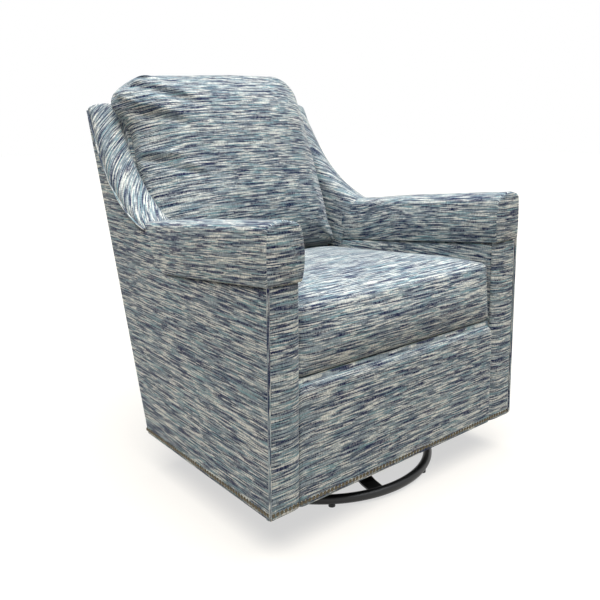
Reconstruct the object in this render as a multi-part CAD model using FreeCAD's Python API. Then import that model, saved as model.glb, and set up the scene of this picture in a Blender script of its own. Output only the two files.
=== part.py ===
# Swivel glider chair: an upholstered tub that hangs on four links above a turning ring base.
# The front faces -Y and the left side, seen from the front, lies at -X.
# A depth is measured back from the front face of the arms, a height up from the floor.
# A level across an arm is measured inwards from the outer face of its outside panel.
# A layer of the back is measured forwards, square to the outside face of the back.
import FreeCAD, Part
import math
import os

V = FreeCAD.Vector

# Outer body
BODY_WIDTH = 800.0
BODY_BOTTOM = 85.0
BASE_DEPTH = 534.0
PLAN_TAPER = math.radians(2.4)
BACK_RAKE = math.radians(20.3)
BACK_TOP = 888.0
MARGIN = 150.0

# Arms and arm caps
ARM_THICKNESS = 80.0
ARM_SEAM_HEIGHT = 559.0
ARM_SLOPE = math.radians(6.3)
CAP_HEIGHT = 121.0
CAP_OVERHANG = 5.0
CAP_PROUD = 6.0
CAP_OUTER_ROUND = 14.0
CAP_INNER_ROUND = 24.0
CAP_FRONT_ROUND = 8.0

# Wings that sweep up from the arms to the top of the back
WING_JOIN = 495.0
WING_SETBACK = 40.4
WING_START_ANGLE = math.radians(20.0)
WING_END_ANGLE = math.radians(53.0)
WING_TOP = 901.5
WING_ROUND = 34.0
WING_ROLL_DEPTH = 60.0
WING_LAP = 20.0

# Seam between a wing and the outside panel below it
SEAM_LOW_DROP = 20.0
SEAM_TURN = math.radians(44.0)
SEAM_TOP = 805.0

# Layers of the upholstery and the wooden frame
PANEL = 12.0
FRONT_PAD = 14.0
FRONT_PAD_ROUND = 11.0
FRONT_PAD_DROP = 11.0
FRAME_WOOD = 35.0
FRONT_POST_DEPTH = 45.0
BACK_POST_DEPTH = 30.0
WEBBING = 2.0
BACK_PAD = 22.0
COVER = 1.5
RAIL_THICKNESS = 22.0
BASE_RAIL_HEIGHT = 98.0
ARM_RAIL_HEIGHT = 60.0
ARM_BOARD_HEIGHT = 45.0
BACK_RAIL_HEIGHT = 62.0
TOP_PAD = 40.0
CORNER_BLOCK = 58.0
CORNER_BLOCK_GAP = 1.0

# Seat
SEAT_FRONT_HEIGHT = 356.0
SEAT_PITCH = math.radians(4.0)
DECK = 18.0
SPRING_COUNT = 5
SPRING_SPACING = 100.0
SPRING_WIRE = 1.9
SPRING_PITCH = 22.0
SPRING_HALF_RUN = 17.0
SPRING_DECK_GAP = 1.0
SPRING_START = 24.0
CLIP_WIDTH = 16.0
CLIP_LENGTH = 12.0
CLIP_BASE = 2.0
CLIP_DECK_GAP = 0.3
STRAP_WIDTH = 30.0
STRAP_LAP = 30.0

# Loose cushions
CUSHION_GAP = 3.0
CUSHION_FRONT_GAP = 4.0
CUSHION_BACK_GAP = 2.0
CUSHION_CORNER = 26.0
CUSHION_BAND = 150.0
CUSHION_CROWN = 22.0
CUSHION_EASE = 10.0
CUSHION_SPREAD = 150.0
CUSHION_DRAW = 2.5
CROWN_STEPS = 5
BACK_CUSHION_LIFT = 5.5
BACK_CUSHION_LENGTH = 533.0
BACK_CUSHION_BAND = 46.0
BACK_CUSHION_CROWN = 68.0
BACK_CUSHION_TOP_CORNER = 46.0
BACK_CUSHION_SPREAD = 150.0
BACK_CUSHION_SAG = 6.0
BACK_CUSHION_GAP = 0.4

# Trim
WELT_RADIUS = 2.4
WELT_SINK = 1.2
WELT_GAP = 0.1
NAIL_RADIUS = 4.8
NAIL_DOME = 2.6
NAIL_PITCH = 10.4
NAIL_RISE = 12.0
NAIL_END = 8.0

# Ring base and turning bearing
AXIS_DEPTH = 302.0
RING_RADIUS = 278.0
RING_TUBE = 11.0
GLIDE_HEIGHT = 5.0
GLIDE_RADIUS = 8.0
GLIDE_LAP = 3.0
GLIDE_COUNT = 6
GLIDE_TURN = math.radians(-126.4)
SPIDER_COUNT = 4
SPIDER_TURN = math.radians(-103.2)
SPIDER_WIDTH = 38.0
SPIDER_THICKNESS = 4.5
SPIDER_INNER = 32.0
SPIDER_FLAT = 42.0
SPIDER_RISE = 6.0
HUB_HEIGHT = 50.0
HUB_RADIUS = 60.0
HUB_PLATE = 5.0
POST_RADIUS = 8.0
POST_FIT = 0.03
POST_RUNNING = 0.08
POST_HEAD_RADIUS = 15.0
POST_HEAD = 7.0
NUT_ACROSS = 26.0
NUT_HEIGHT = 11.0
NUT_GAP = 0.2
POST_PROUD = 3.0
RACE_INNER = 24.0
RACE_OUTER = 48.0
RACE_HEIGHT = 6.0
RACE_GAP = 2.0
BALL_RADIUS = 4.0
BALL_CIRCLE = 36.0
BALL_COUNT = 12
GROOVE_CLEARANCE = 0.1

# Gliding carriage and links
CARRIAGE_HALF_WIDTH = 152.0
CARRIAGE_HALF_LENGTH = 93.0
CARRIAGE_PLATE = 5.0
BRACKET_PLATE = 5.0
BRACKET_FOOT = 34.0
BRACKET_EAR = 16.0
TIE_RADIUS = 6.0
TIE_DROP = 34.0
LINK_LENGTH = 130.0
LINK_HALF_SPACING = 75.0
LINK_HALF_WIDTH = 12.5
LINK_PLATE = 5.0
LINK_STANDOFF = 5.0
LINK_SIDE_GAP = 0.3
BUSH_RADIUS = 7.0
BUSH_FIT = 0.02
PIN_RADIUS = 5.0
PIN_FIT = 0.03
PIN_RUNNING = 0.06
PIN_HEAD_RADIUS = 9.0
PIN_HEAD = 3.0
SPACER_RADIUS = 9.0
RAIL_STEEL = 4.0
RAIL_SIDE_GAP = 1.0
RAIL_FLANGE = 40.0
RAIL_HEIGHT = 30.0
RAIL_CLEARANCE = 7.5
RAIL_END_GAP = 2.0
PIN_TO_RAIL_FOOT = 14.0
FRONT_BOARD_NEAR = 140.0
FRONT_BOARD_FAR = 200.0
REAR_BOARD_NEAR = 133.0
BOARD_THICKNESS = 22.0
BOARD_END_GAP = 1.0
BAY_HALF_LENGTH = 135.0
BOLT_RADIUS = 4.0
BOLT_ACROSS = 13.0
BOLT_HEAD = 5.0
BOLT_FIT = 0.05
BOLT_DEPTH = 16.0

# Heights that follow from the stack of the bearing and the carriage
RING_HEIGHT = GLIDE_HEIGHT + RING_TUBE
LOWER_RACE_FOOT = HUB_HEIGHT + HUB_PLATE
BALL_HEIGHT = LOWER_RACE_FOOT + RACE_HEIGHT + RACE_GAP / 2
UPPER_RACE_FOOT = LOWER_RACE_FOOT + RACE_HEIGHT + RACE_GAP
CARRIAGE_FOOT = UPPER_RACE_FOOT + RACE_HEIGHT
CARRIAGE_TOP = CARRIAGE_FOOT + CARRIAGE_PLATE
NUT_FOOT = CARRIAGE_TOP + NUT_GAP
WOOD_BOTTOM = BODY_BOTTOM + COVER
RAIL_BOTTOM = WOOD_BOTTOM + RAIL_CLEARANCE
RAIL_TOP = RAIL_BOTTOM + RAIL_HEIGHT
LOW_PIVOT = RAIL_BOTTOM + PIN_TO_RAIL_FOOT
HIGH_PIVOT = LOW_PIVOT + LINK_LENGTH
BOARD_TOP = RAIL_TOP + BOARD_THICKNESS
BASE_RAIL_TOP = WOOD_BOTTOM + BASE_RAIL_HEIGHT
FRONT_PAD_TOP = SEAT_FRONT_HEIGHT - FRONT_PAD_DROP

# Levels across the links, out from the middle
LINK_INNER = CARRIAGE_HALF_WIDTH + LINK_STANDOFF
LINK_OUTER = LINK_INNER + LINK_PLATE
RAIL_INNER = LINK_OUTER + RAIL_SIDE_GAP
RAIL_OUTER = RAIL_INNER + RAIL_STEEL

# Layers of the back and levels across an arm
FRAME_LAYER = PANEL + BACK_POST_DEPTH
WEB_LAYER = FRAME_LAYER + WEBBING
PAD_LAYER = WEB_LAYER + BACK_PAD
FRAME_LEVEL = PANEL + FRAME_WOOD
FRAME_TOP = BACK_TOP - TOP_PAD

# Levels of the seat, square to its sloping deck
SPRING_LEVEL = -(DECK + SPRING_DECK_GAP + SPRING_WIRE)
RAIL_LEVEL = SPRING_LEVEL - SPRING_WIRE - CLIP_BASE


def back_depth(z, layer=0.0):
    """Depth of a layer of the raked back at a height."""
    return BASE_DEPTH + math.tan(BACK_RAKE) * (z - BODY_BOTTOM) - layer / math.cos(BACK_RAKE)


REACH = back_depth(BACK_TOP)
FRONT = (CAP_PROUD - REACH) / 2
AXIS = V(0, FRONT + AXIS_DEPTH, 0)


def seam_height(d):
    """Height of the sloping seam under an arm cap."""
    return ARM_SEAM_HEIGHT - math.tan(ARM_SLOPE) * d


def cap_height(d):
    """Height of the top of an arm cap."""
    return seam_height(d) + CAP_HEIGHT


def seat_height(d, level=0.0):
    """Height of a level of the sloping seat, where 0 is the top of the deck."""
    return SEAT_FRONT_HEIGHT - math.tan(SEAT_PITCH) * d + level / math.cos(SEAT_PITCH)


def seat_at_back(level, layer):
    """Depth and height where a level of the seat meets a layer of the back."""
    z = seat_height(back_depth(0.0, layer), level) / (1 + math.tan(SEAT_PITCH) * math.tan(BACK_RAKE))
    return back_depth(z, layer), z


def seam_at_back(drop, layer):
    """Depth and height where the arm cap's seam plane, lowered by drop, meets a layer of the back."""
    z = (seam_height(back_depth(0.0, layer)) - drop) / (1 + math.tan(ARM_SLOPE) * math.tan(BACK_RAKE))
    return back_depth(z, layer), z


def side_x(d, level):
    """Place across of a level of the left side, which draws in towards the back."""
    return -BODY_WIDTH / 2 + d * math.tan(PLAN_TAPER) + level / math.cos(PLAN_TAPER)


def only(shape):
    """The one solid that a cut leaves."""
    if len(shape.Solids) != 1:
        raise ValueError("expected one solid, found %d" % len(shape.Solids))
    return shape.Solids[0]


def outline(path):
    """Closed wire in the plane x = 0; an item is a corner (depth, height) or an arc (middle, end)."""
    edges = []
    here = path[0]
    for item in path[1:] + [path[0]]:
        curved = isinstance(item[0], tuple)
        end = item[1] if curved else item
        points = [V(0, d, z) for d, z in ((here, item[0], end) if curved else (here, end))]
        edges.append((Part.Arc(*points) if curved else Part.LineSegment(*points)).toShape())
        here = end
    return Part.Wire(edges)


def across(path):
    """Side outline carried across more than the whole width of the chair."""
    face = Part.Face(outline(path))
    face.translate(V(-BODY_WIDTH, FRONT, 0))
    return face.extrude(V(2 * BODY_WIDTH, 0, 0))


def upright(corners, low, high):
    """Plan outline of (across, depth) corners carried up from low to high."""
    points = [V(x, FRONT + d, low) for x, d in corners]
    return Part.Face(Part.makePolygon(points + points[:1])).extrude(V(0, 0, high - low))


def left_piece(path, inner_from, inner_to):
    """Side outline kept between two levels of the left side."""
    far = REACH + MARGIN
    plan = [(side_x(d, level), d) for d, level in
            ((-MARGIN, inner_from), (far, inner_from), (far, inner_to), (-MARGIN, inner_to))]
    return only(across(path).common(upright(plan, -MARGIN, WING_TOP + MARGIN)))


def middle_piece(path, level):
    """Side outline kept between one level of the left side and the same level of the right."""
    far = REACH + MARGIN
    plan = [(side_x(-MARGIN, level), -MARGIN), (side_x(far, level), far),
            (-side_x(far, level), far), (-side_x(-MARGIN, level), -MARGIN)]
    return only(across(path).common(upright(plan, -MARGIN, WING_TOP + MARGIN)))


def to_left(shape):
    """Place a shape drawn with x inwards from the outer face and y back along the left side."""
    placed = shape.copy()
    placed.rotate(V(0, 0, 0), V(0, 0, 1), -math.degrees(PLAN_TAPER))
    placed.translate(V(-BODY_WIDTH / 2, FRONT, 0))
    return placed


def mirrored(shape):
    """The same piece on the right side."""
    return shape.mirror(V(0, 0, 0), V(1, 0, 0))


def pair(shape):
    """A left piece and its right twin in one group."""
    return Part.makeCompound([shape, mirrored(shape)])


def rounded(shape, radius, chosen):
    """Round the edges that a test picks."""
    return only(shape.makeFillet(radius, [edge for edge in shape.Edges if chosen(edge)]))


def wing_sweep():
    """Radius that brings a wing's edge from its arm cap to its place before the top of the back."""
    run = back_depth(WING_TOP) - WING_SETBACK - WING_JOIN
    rise = WING_TOP - cap_height(WING_JOIN)
    slope = 1 / math.tan(WING_END_ANGLE)
    share = (math.sin(WING_END_ANGLE) - math.sin(WING_START_ANGLE)
             - slope * (math.cos(WING_START_ANGLE) - math.cos(WING_END_ANGLE)))
    return (run - slope * rise) / share


def crest_point(angle, drop=0.0):
    """Point of the wing's sweep where its slope is angle, lowered square to the sweep by drop."""
    sweep = wing_sweep()
    join = (WING_JOIN, cap_height(WING_JOIN))
    middle = (join[0] - sweep * math.sin(WING_START_ANGLE), join[1] + sweep * math.cos(WING_START_ANGLE))
    radius = sweep + drop
    return middle[0] + radius * math.sin(angle), middle[1] - radius * math.cos(angle)


def wing_seam():
    """Start, middle and top of the hollow arc of the seam under a wing."""
    start = crest_point(WING_START_ANGLE, SEAM_LOW_DROP)
    top = (back_depth(SEAM_TOP, PANEL), SEAM_TOP)
    run, rise = top[0] - start[0], top[1] - start[1]
    sag = math.tan(SEAM_TURN / 4) / 2
    middle = ((start[0] + top[0]) / 2 + sag * rise, (start[1] + top[1]) / 2 - sag * run)
    return start, middle, top


def raked(low, high, inner, outer):
    """Side outline between two layers of the back and two heights."""
    return [(back_depth(low, outer), low), (back_depth(low, inner), low),
            (back_depth(high, inner), high), (back_depth(high, outer), high)]


def behind_back(layer):
    """Everything behind a layer of the back."""
    low, high = -MARGIN, WING_TOP + MARGIN
    far = REACH + 3 * MARGIN
    return across([(back_depth(low, layer), low), (far, low), (far, high), (back_depth(high, layer), high)])


def below_caps():
    """Everything below the seam plane of the arm caps."""
    near, far = -MARGIN, REACH + MARGIN
    return across([(near, -MARGIN), (far, -MARGIN), (far, seam_height(far)), (near, seam_height(near))])


def between_depths(near, far):
    """Everything from one depth to another."""
    return across([(near, -MARGIN), (far, -MARGIN), (far, WING_TOP + MARGIN), (near, WING_TOP + MARGIN)])


# Side of the body

def outside_panel():
    """Padded outer side, from the bottom edge to the cap seam and the wing seam."""
    start, middle, top = wing_seam()
    return left_piece([
        (FRONT_PAD, BODY_BOTTOM), (back_depth(BODY_BOTTOM, PANEL), BODY_BOTTOM), top,
        (middle, start), (WING_JOIN, start[1]),
        (WING_JOIN, seam_height(WING_JOIN)), (FRONT_PAD, seam_height(FRONT_PAD))], 0.0, PANEL)


def front_welt():
    """Piping up the outer front edge of an arm."""
    top = seam_height(WELT_SINK + WELT_RADIUS)
    foot = V(side_x(0, 0) + WELT_SINK, FRONT + WELT_SINK, BODY_BOTTOM)
    return Part.makeCylinder(WELT_RADIUS, top - BODY_BOTTOM, foot)


def arm_front_pad(welt):
    """Padded front of an arm, rounded towards the seat and grooved for the piping."""
    pad = left_piece([(0, BODY_BOTTOM), (FRONT_PAD, BODY_BOTTOM),
                      (FRONT_PAD, seam_height(FRONT_PAD)), (0, seam_height(0))], 0.0, ARM_THICKNESS)
    middle = side_x(0, ARM_THICKNESS / 2)
    pad = rounded(pad, FRONT_PAD_ROUND, lambda edge: (
        edge.BoundBox.ZLength > CAP_HEIGHT and edge.BoundBox.XMin > middle
        and edge.BoundBox.YMax < FRONT + FRONT_PAD / 2))
    return only(pad.cut(welt))


def inside_arm_pad():
    """Padded inner side of an arm, from the seat deck to the cap seam."""
    return left_piece([
        (FRONT_PAD, seat_height(FRONT_PAD, -DECK)), seat_at_back(-DECK, FRAME_LAYER),
        seam_at_back(0.0, FRAME_LAYER), (FRONT_PAD, seam_height(FRONT_PAD))], FRAME_LEVEL, ARM_THICKNESS)


def arm_board():
    """Wooden board inside an arm cap."""
    return left_piece([
        (FRONT_PAD, seam_height(FRONT_PAD)), (WING_JOIN, seam_height(WING_JOIN)),
        (WING_JOIN, seam_height(WING_JOIN) + ARM_BOARD_HEIGHT),
        (FRONT_PAD, seam_height(FRONT_PAD) + ARM_BOARD_HEIGHT)], PANEL, FRAME_LEVEL)


def cap_section():
    """Section across an arm cap, with a tighter round outside than inside."""
    left, right = -CAP_OVERHANG, ARM_THICKNESS + CAP_OVERHANG
    out, inn = CAP_OUTER_ROUND, CAP_INNER_ROUND
    half = math.sqrt(0.5)
    foot = -MARGIN
    corners = [V(left, 0, foot), V(right, 0, foot), V(right, 0, CAP_HEIGHT - inn),
               V(right - inn, 0, CAP_HEIGHT), V(left + out, 0, CAP_HEIGHT), V(left, 0, CAP_HEIGHT - out)]
    inner_middle = V(right - inn + inn * half, 0, CAP_HEIGHT - inn + inn * half)
    outer_middle = V(left + out - out * half, 0, CAP_HEIGHT - out + out * half)
    return Part.Wire([
        Part.LineSegment(corners[0], corners[1]).toShape(),
        Part.LineSegment(corners[1], corners[2]).toShape(),
        Part.Arc(corners[2], inner_middle, corners[3]).toShape(),
        Part.LineSegment(corners[3], corners[4]).toShape(),
        Part.Arc(corners[4], outer_middle, corners[5]).toShape(),
        Part.LineSegment(corners[5], corners[0]).toShape()])


def arm_cap(board):
    """Saddle cushion on an arm, sloping back to the wing, over its board."""
    section = Part.Face(cap_section())
    section.translate(V(0, -MARGIN, seam_height(-MARGIN)))
    run = WING_JOIN + 2 * MARGIN
    cap = to_left(section.extrude(V(0, run, -run * math.tan(ARM_SLOPE))))
    cap = only(cap.common(between_depths(-CAP_PROUD, WING_JOIN)).cut(below_caps()))
    cap = rounded(cap, CAP_FRONT_ROUND, lambda edge: (
        edge.BoundBox.YMax < FRONT - CAP_PROUD / 2
        and edge.CenterOfMass.z > seam_height(0) + CAP_FRONT_ROUND))
    return only(cap.cut(board))


def wing_roll():
    """Rounded edge of a wing: its section turned along the sweep and carried on up the slope."""
    deep, r, wide = WING_ROLL_DEPTH, WING_ROUND, ARM_THICKNESS
    half = r * (1 - math.sqrt(0.5))
    start = V(0, *crest_point(WING_START_ANGLE))
    corners = [V(0, 0, -deep), V(wide, 0, -deep), V(wide, 0, -r), V(wide - r, 0, 0), V(r, 0, 0), V(0, 0, -r)]
    section = Part.Wire([
        Part.LineSegment(corners[0], corners[1]).toShape(),
        Part.LineSegment(corners[1], corners[2]).toShape(),
        Part.Arc(corners[2], V(wide - half, 0, -half), corners[3]).toShape(),
        Part.LineSegment(corners[3], corners[4]).toShape(),
        Part.Arc(corners[4], V(half, 0, -half), corners[5]).toShape(),
        Part.LineSegment(corners[5], corners[0]).toShape()])
    face = Part.Face(section)
    face.translate(start)
    face.rotate(start, V(1, 0, 0), math.degrees(WING_START_ANGLE))
    centre = V(0, *crest_point(0.0, -wing_sweep()))
    turn = math.degrees(WING_END_ANGLE - WING_START_ANGLE)
    sweep = face.revolve(centre, V(1, 0, 0), turn)
    face.rotate(centre, V(1, 0, 0), turn)
    rise = WING_TOP
    return sweep.fuse(face.extrude(V(0, rise * math.cos(WING_END_ANGLE), rise * math.sin(WING_END_ANGLE))))


def wing_core():
    """Flat body of a wing below its rounded edge."""
    start = crest_point(WING_START_ANGLE, WING_ROUND + WING_LAP)
    middle = crest_point((WING_START_ANGLE + WING_END_ANGLE) / 2, WING_ROUND + WING_LAP)
    end = crest_point(WING_END_ANGLE, WING_ROUND + WING_LAP)
    top = (end[0] + WING_TOP * math.cos(WING_END_ANGLE), end[1] + WING_TOP * math.sin(WING_END_ANGLE))
    far = (top[0], -MARGIN)
    face = Part.Face(outline([start, (middle, end), top, far, (WING_JOIN - MARGIN, -MARGIN),
                              (WING_JOIN - MARGIN, start[1])]))
    return face.extrude(V(ARM_THICKNESS, 0, 0))


def wing_pad(pieces):
    """Padded wing behind an arm cap, cut round the pieces that it covers."""
    top_slab = across([(-MARGIN, WING_TOP), (REACH + MARGIN, WING_TOP),
                       (REACH + MARGIN, WING_TOP * 2), (-MARGIN, WING_TOP * 2)])
    pad = to_left(wing_roll().fuse(wing_core()))
    pad = pad.common(between_depths(WING_JOIN, REACH + MARGIN))
    for waste in [behind_back(PANEL), below_caps(), top_slab] + pieces:
        pad = pad.cut(waste)
    return only(pad.removeSplitter())


def wing_welt():
    """Piping along the seam under a wing, lying on the outer face."""
    start, middle, top = [V(side_x(d, -WELT_RADIUS - WELT_GAP), FRONT + d, z) for d, z in wing_seam()]
    path = Part.Wire([Part.Arc(start, middle, top).toShape()])
    along = path.Edges[0].tangentAt(path.Edges[0].FirstParameter)
    ring = Part.Wire(Part.Circle(start, along, WELT_RADIUS).toShape())
    return only(path.makePipeShell([ring], True, False))


# Wooden frame

def front_post():
    """Upright at the front of an arm."""
    near, far = FRONT_PAD, FRONT_PAD + FRONT_POST_DEPTH
    return left_piece([(near, WOOD_BOTTOM), (far, WOOD_BOTTOM), (far, seam_height(far)),
                       (near, seam_height(near))], PANEL, FRAME_LEVEL)


def back_post():
    """Raked upright that carries the back and the wing."""
    return left_piece(raked(WOOD_BOTTOM, FRAME_TOP, PANEL, FRAME_LAYER), PANEL, FRAME_LEVEL)


def side_rail():
    """Bottom rail of a side, between its two posts."""
    high = BASE_RAIL_TOP
    near = FRONT_PAD + FRONT_POST_DEPTH
    return left_piece([(near, WOOD_BOTTOM), (back_depth(WOOD_BOTTOM, FRAME_LAYER), WOOD_BOTTOM),
                       (back_depth(high, FRAME_LAYER), high), (near, high)], PANEL, FRAME_LEVEL)


def arm_rail():
    """Sloping rail under an arm cap, between the two posts."""
    near = FRONT_PAD + FRONT_POST_DEPTH
    return left_piece([
        (near, seam_height(near) - ARM_RAIL_HEIGHT), seam_at_back(ARM_RAIL_HEIGHT, FRAME_LAYER),
        seam_at_back(0.0, FRAME_LAYER), (near, seam_height(near))], PANEL, FRAME_LEVEL)


def front_rail():
    """Wide rail across the front, under the seat deck."""
    near, far = FRONT_PAD, FRONT_PAD + RAIL_THICKNESS
    return middle_piece([(near, WOOD_BOTTOM), (far, WOOD_BOTTOM), (far, seat_height(far, RAIL_LEVEL)),
                         (near, seat_height(near, RAIL_LEVEL))], FRAME_LEVEL)


def rear_rail():
    """Bottom rail across the back."""
    return middle_piece(raked(WOOD_BOTTOM, BASE_RAIL_TOP, PANEL, FRAME_LAYER), FRAME_LEVEL)


def back_lower_rail():
    """Rail across the back that the seat springs end on."""
    inner = seat_at_back(RAIL_LEVEL, FRAME_LAYER)
    outer = seat_at_back(RAIL_LEVEL, PANEL)
    low = outer[1] - BACK_RAIL_HEIGHT
    return middle_piece([(back_depth(low, FRAME_LAYER), low), (back_depth(low, PANEL), low),
                         outer, inner], FRAME_LEVEL)


def back_top_rail():
    """Rail across the top of the back."""
    return middle_piece(raked(FRAME_TOP - BACK_RAIL_HEIGHT, FRAME_TOP, PANEL, FRAME_LAYER), FRAME_LEVEL)


def corner_blocks():
    """Triangular glue blocks behind the front rail, above the mount boards."""
    near, far = FRONT_PAD + RAIL_THICKNESS, FRONT_PAD + RAIL_THICKNESS + CORNER_BLOCK
    plan = [(side_x(near, FRAME_LEVEL), near), (side_x(far, FRAME_LEVEL), far),
            (side_x(near, FRAME_LEVEL) + CORNER_BLOCK, near)]
    return pair(upright(plan, BOARD_TOP + CORNER_BLOCK_GAP, BASE_RAIL_TOP))


def mount_boards():
    """Two boards across the side rails that the gliding rails are bolted to."""
    rear = back_depth(RAIL_TOP, FRAME_LAYER) - BOARD_END_GAP
    spans = [(AXIS_DEPTH - FRONT_BOARD_FAR, AXIS_DEPTH - FRONT_BOARD_NEAR),
             (AXIS_DEPTH + REAR_BOARD_NEAR, rear)]
    return Part.makeCompound([
        middle_piece([(near, RAIL_TOP), (far, RAIL_TOP), (far, BOARD_TOP), (near, BOARD_TOP)], FRAME_LEVEL)
        for near, far in spans])


def dust_covers():
    """Thin cloth covers under the frame, before and behind the bay of the mechanism."""
    low, high = BODY_BOTTOM, WOOD_BOTTOM
    near, far = AXIS_DEPTH - BAY_HALF_LENGTH, AXIS_DEPTH + BAY_HALF_LENGTH
    front = middle_piece([(FRONT_PAD, low), (near, low), (near, high), (FRONT_PAD, high)], PANEL)
    rear = middle_piece([(far, low), (back_depth(low, PANEL), low), (back_depth(high, PANEL), high),
                         (far, high)], PANEL)
    return Part.makeCompound([front, rear])


# Seat and back

def seat_placed(shape):
    """Tilt a shape drawn on the seat, with y as depth and z square to the deck."""
    placed = shape.copy()
    placed.rotate(V(0, 0, 0), V(1, 0, 0), -math.degrees(SEAT_PITCH))
    placed.translate(V(0, FRONT, SEAT_FRONT_HEIGHT))
    return placed


def spring_run_count():
    """Number of cross runs of a spring between the front rail and the back rail."""
    inner = seat_at_back(SPRING_LEVEL, FRAME_LAYER)[0]
    outer = seat_at_back(SPRING_LEVEL, PANEL)[0]
    end = (inner + outer) / 2 / math.cos(SEAT_PITCH)
    return 1 + int((end - SPRING_START) / SPRING_PITCH)


def spring_rest():
    """Depth of the last run of a spring, which lies on the back rail."""
    return SPRING_START + (spring_run_count() - 1) * SPRING_PITCH


def seat_spring(x):
    """One flat zigzag wire: cross runs joined by half turns."""
    edges = []
    half = SPRING_HALF_RUN
    side = 1
    for run in range(spring_run_count()):
        y = SPRING_START + run * SPRING_PITCH
        here, there = V(x - side * half, y, 0), V(x + side * half, y, 0)
        if edges:
            bulge = V(x - side * (half + SPRING_PITCH / 2), y - SPRING_PITCH / 2, 0)
            edges.append(Part.Arc(last, bulge, here).toShape())
        edges.append(Part.LineSegment(here, there).toShape())
        last = there
        side = -side
    ring = Part.Wire(Part.Circle(V(x - half, SPRING_START, 0), V(1, 0, 0), SPRING_WIRE).toShape())
    wire = only(Part.Wire(edges).makePipeShell([ring], True, False))
    wire.translate(V(0, 0, SPRING_LEVEL))
    return wire


def spring_places():
    """Places across of the seat springs."""
    return [(index - (SPRING_COUNT - 1) / 2) * SPRING_SPACING for index in range(SPRING_COUNT)]


def spring_clips(springs):
    """A clip over each end run of each spring, seated on the rails."""
    high = -DECK - CLIP_DECK_GAP
    clips = []
    for x, spring in zip(spring_places(), springs):
        for y in (SPRING_START, spring_rest()):
            corner = V(x - CLIP_WIDTH / 2, y - CLIP_LENGTH / 2, RAIL_LEVEL)
            clips.append(only(Part.makeBox(CLIP_WIDTH, CLIP_LENGTH, high - RAIL_LEVEL, corner).cut(spring)))
    return clips


def seat_deck():
    """Padded deck on the springs, under the loose cushion."""
    return middle_piece([
        (FRONT_PAD, seat_height(FRONT_PAD, -DECK)), seat_at_back(-DECK, WEB_LAYER),
        seat_at_back(0.0, WEB_LAYER), (FRONT_PAD, seat_height(FRONT_PAD))], ARM_THICKNESS)


def back_webbing():
    """Upright straps between the two back rails."""
    low = seat_at_back(RAIL_LEVEL, FRAME_LAYER)[1] - STRAP_LAP
    high = FRAME_TOP - BACK_RAIL_HEIGHT + STRAP_LAP
    sheet = across(raked(low, high, FRAME_LAYER, WEB_LAYER))
    straps = []
    for left, right in zip(spring_places()[:-1], spring_places()[1:]):
        x = (left + right) / 2
        plan = [(x - STRAP_WIDTH / 2, 0), (x + STRAP_WIDTH / 2, 0),
                (x + STRAP_WIDTH / 2, REACH), (x - STRAP_WIDTH / 2, REACH)]
        straps.append(only(sheet.common(upright(plan, 0, WING_TOP))))
    return straps


def inside_back_pad():
    """Padded inside back that turns over the top rail."""
    low = seat_at_back(0.0, PAD_LAYER)
    heel = seat_at_back(0.0, WEB_LAYER)
    return middle_piece([
        low, heel, (back_depth(FRAME_TOP, WEB_LAYER), FRAME_TOP), (back_depth(FRAME_TOP, PANEL), FRAME_TOP),
        (back_depth(BACK_TOP, PANEL), BACK_TOP), (back_depth(BACK_TOP, PAD_LAYER), BACK_TOP)], ARM_THICKNESS)


def outside_back_panel():
    """Padded outside of the back, over the full width."""
    return middle_piece(raked(BODY_BOTTOM, BACK_TOP, 0.0, PANEL), 0.0)


def front_rail_pad():
    """Padded front below the seat cushion, rounded along its top edge."""
    pad = middle_piece([(0, BODY_BOTTOM), (FRONT_PAD, BODY_BOTTOM), (FRONT_PAD, FRONT_PAD_TOP),
                        (0, FRONT_PAD_TOP)], ARM_THICKNESS)
    return rounded(pad, FRONT_PAD_ROUND, lambda edge: (
        edge.BoundBox.YMax < FRONT + FRONT_PAD / 2 and edge.BoundBox.ZMin > FRONT_PAD_TOP - FRONT_PAD / 2))


def drawn_loop(corners, radii, z):
    """Closed wire at height z: each corner an arc of its own radius, each side an arc drawn in a little."""
    ends = []
    count = len(corners)
    centre = V(sum(x for x, _ in corners) / count, sum(y for _, y in corners) / count, z)
    for index, (corner, radius) in enumerate(zip(corners, radii)):
        point = V(*corner, z)
        before = V(*corners[index - 1], z).sub(point).normalize()
        after = V(*corners[(index + 1) % count], z).sub(point).normalize()
        half = before.getAngle(after) / 2
        cut = radius / math.tan(half)
        middle = point + (before + after).normalize() * (radius / math.sin(half) - radius)
        ends.append((point + before * cut, middle, point + after * cut))
    edges = []
    for index, (first, middle, last) in enumerate(ends):
        there = ends[(index + 1) % count][0]
        side = (last + there) / 2
        drawn = side + centre.sub(side).normalize() * CUSHION_DRAW
        edges.append(Part.Arc(first, middle, last).toShape())
        edges.append(Part.Arc(last, drawn, there).toShape())
    return Part.Wire(edges)


def pillow_levels(band, crown, spread):
    """Heights and insets of a cushion: an eased lower edge, a band, an eased upper edge and a crown."""
    ease = CUSHION_EASE
    turns = [math.radians(angle) for angle in (0, 30, 60)]
    low = [(ease * (1 - math.cos(a)), ease * (1 - math.sin(a))) for a in turns + [math.pi / 2]]
    high = [(band - ease * (1 - math.sin(a)), ease * (1 - math.cos(a))) for a in turns]
    shares = [step / CROWN_STEPS for step in range(CROWN_STEPS + 1)]
    top = [(band + crown * (1 - (1 - share) ** 2), ease + spread * share) for share in shares]
    return low + high + top


def inner_half(d):
    """Half of the room between the arms at a depth."""
    return -side_x(d, ARM_THICKNESS)


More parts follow.
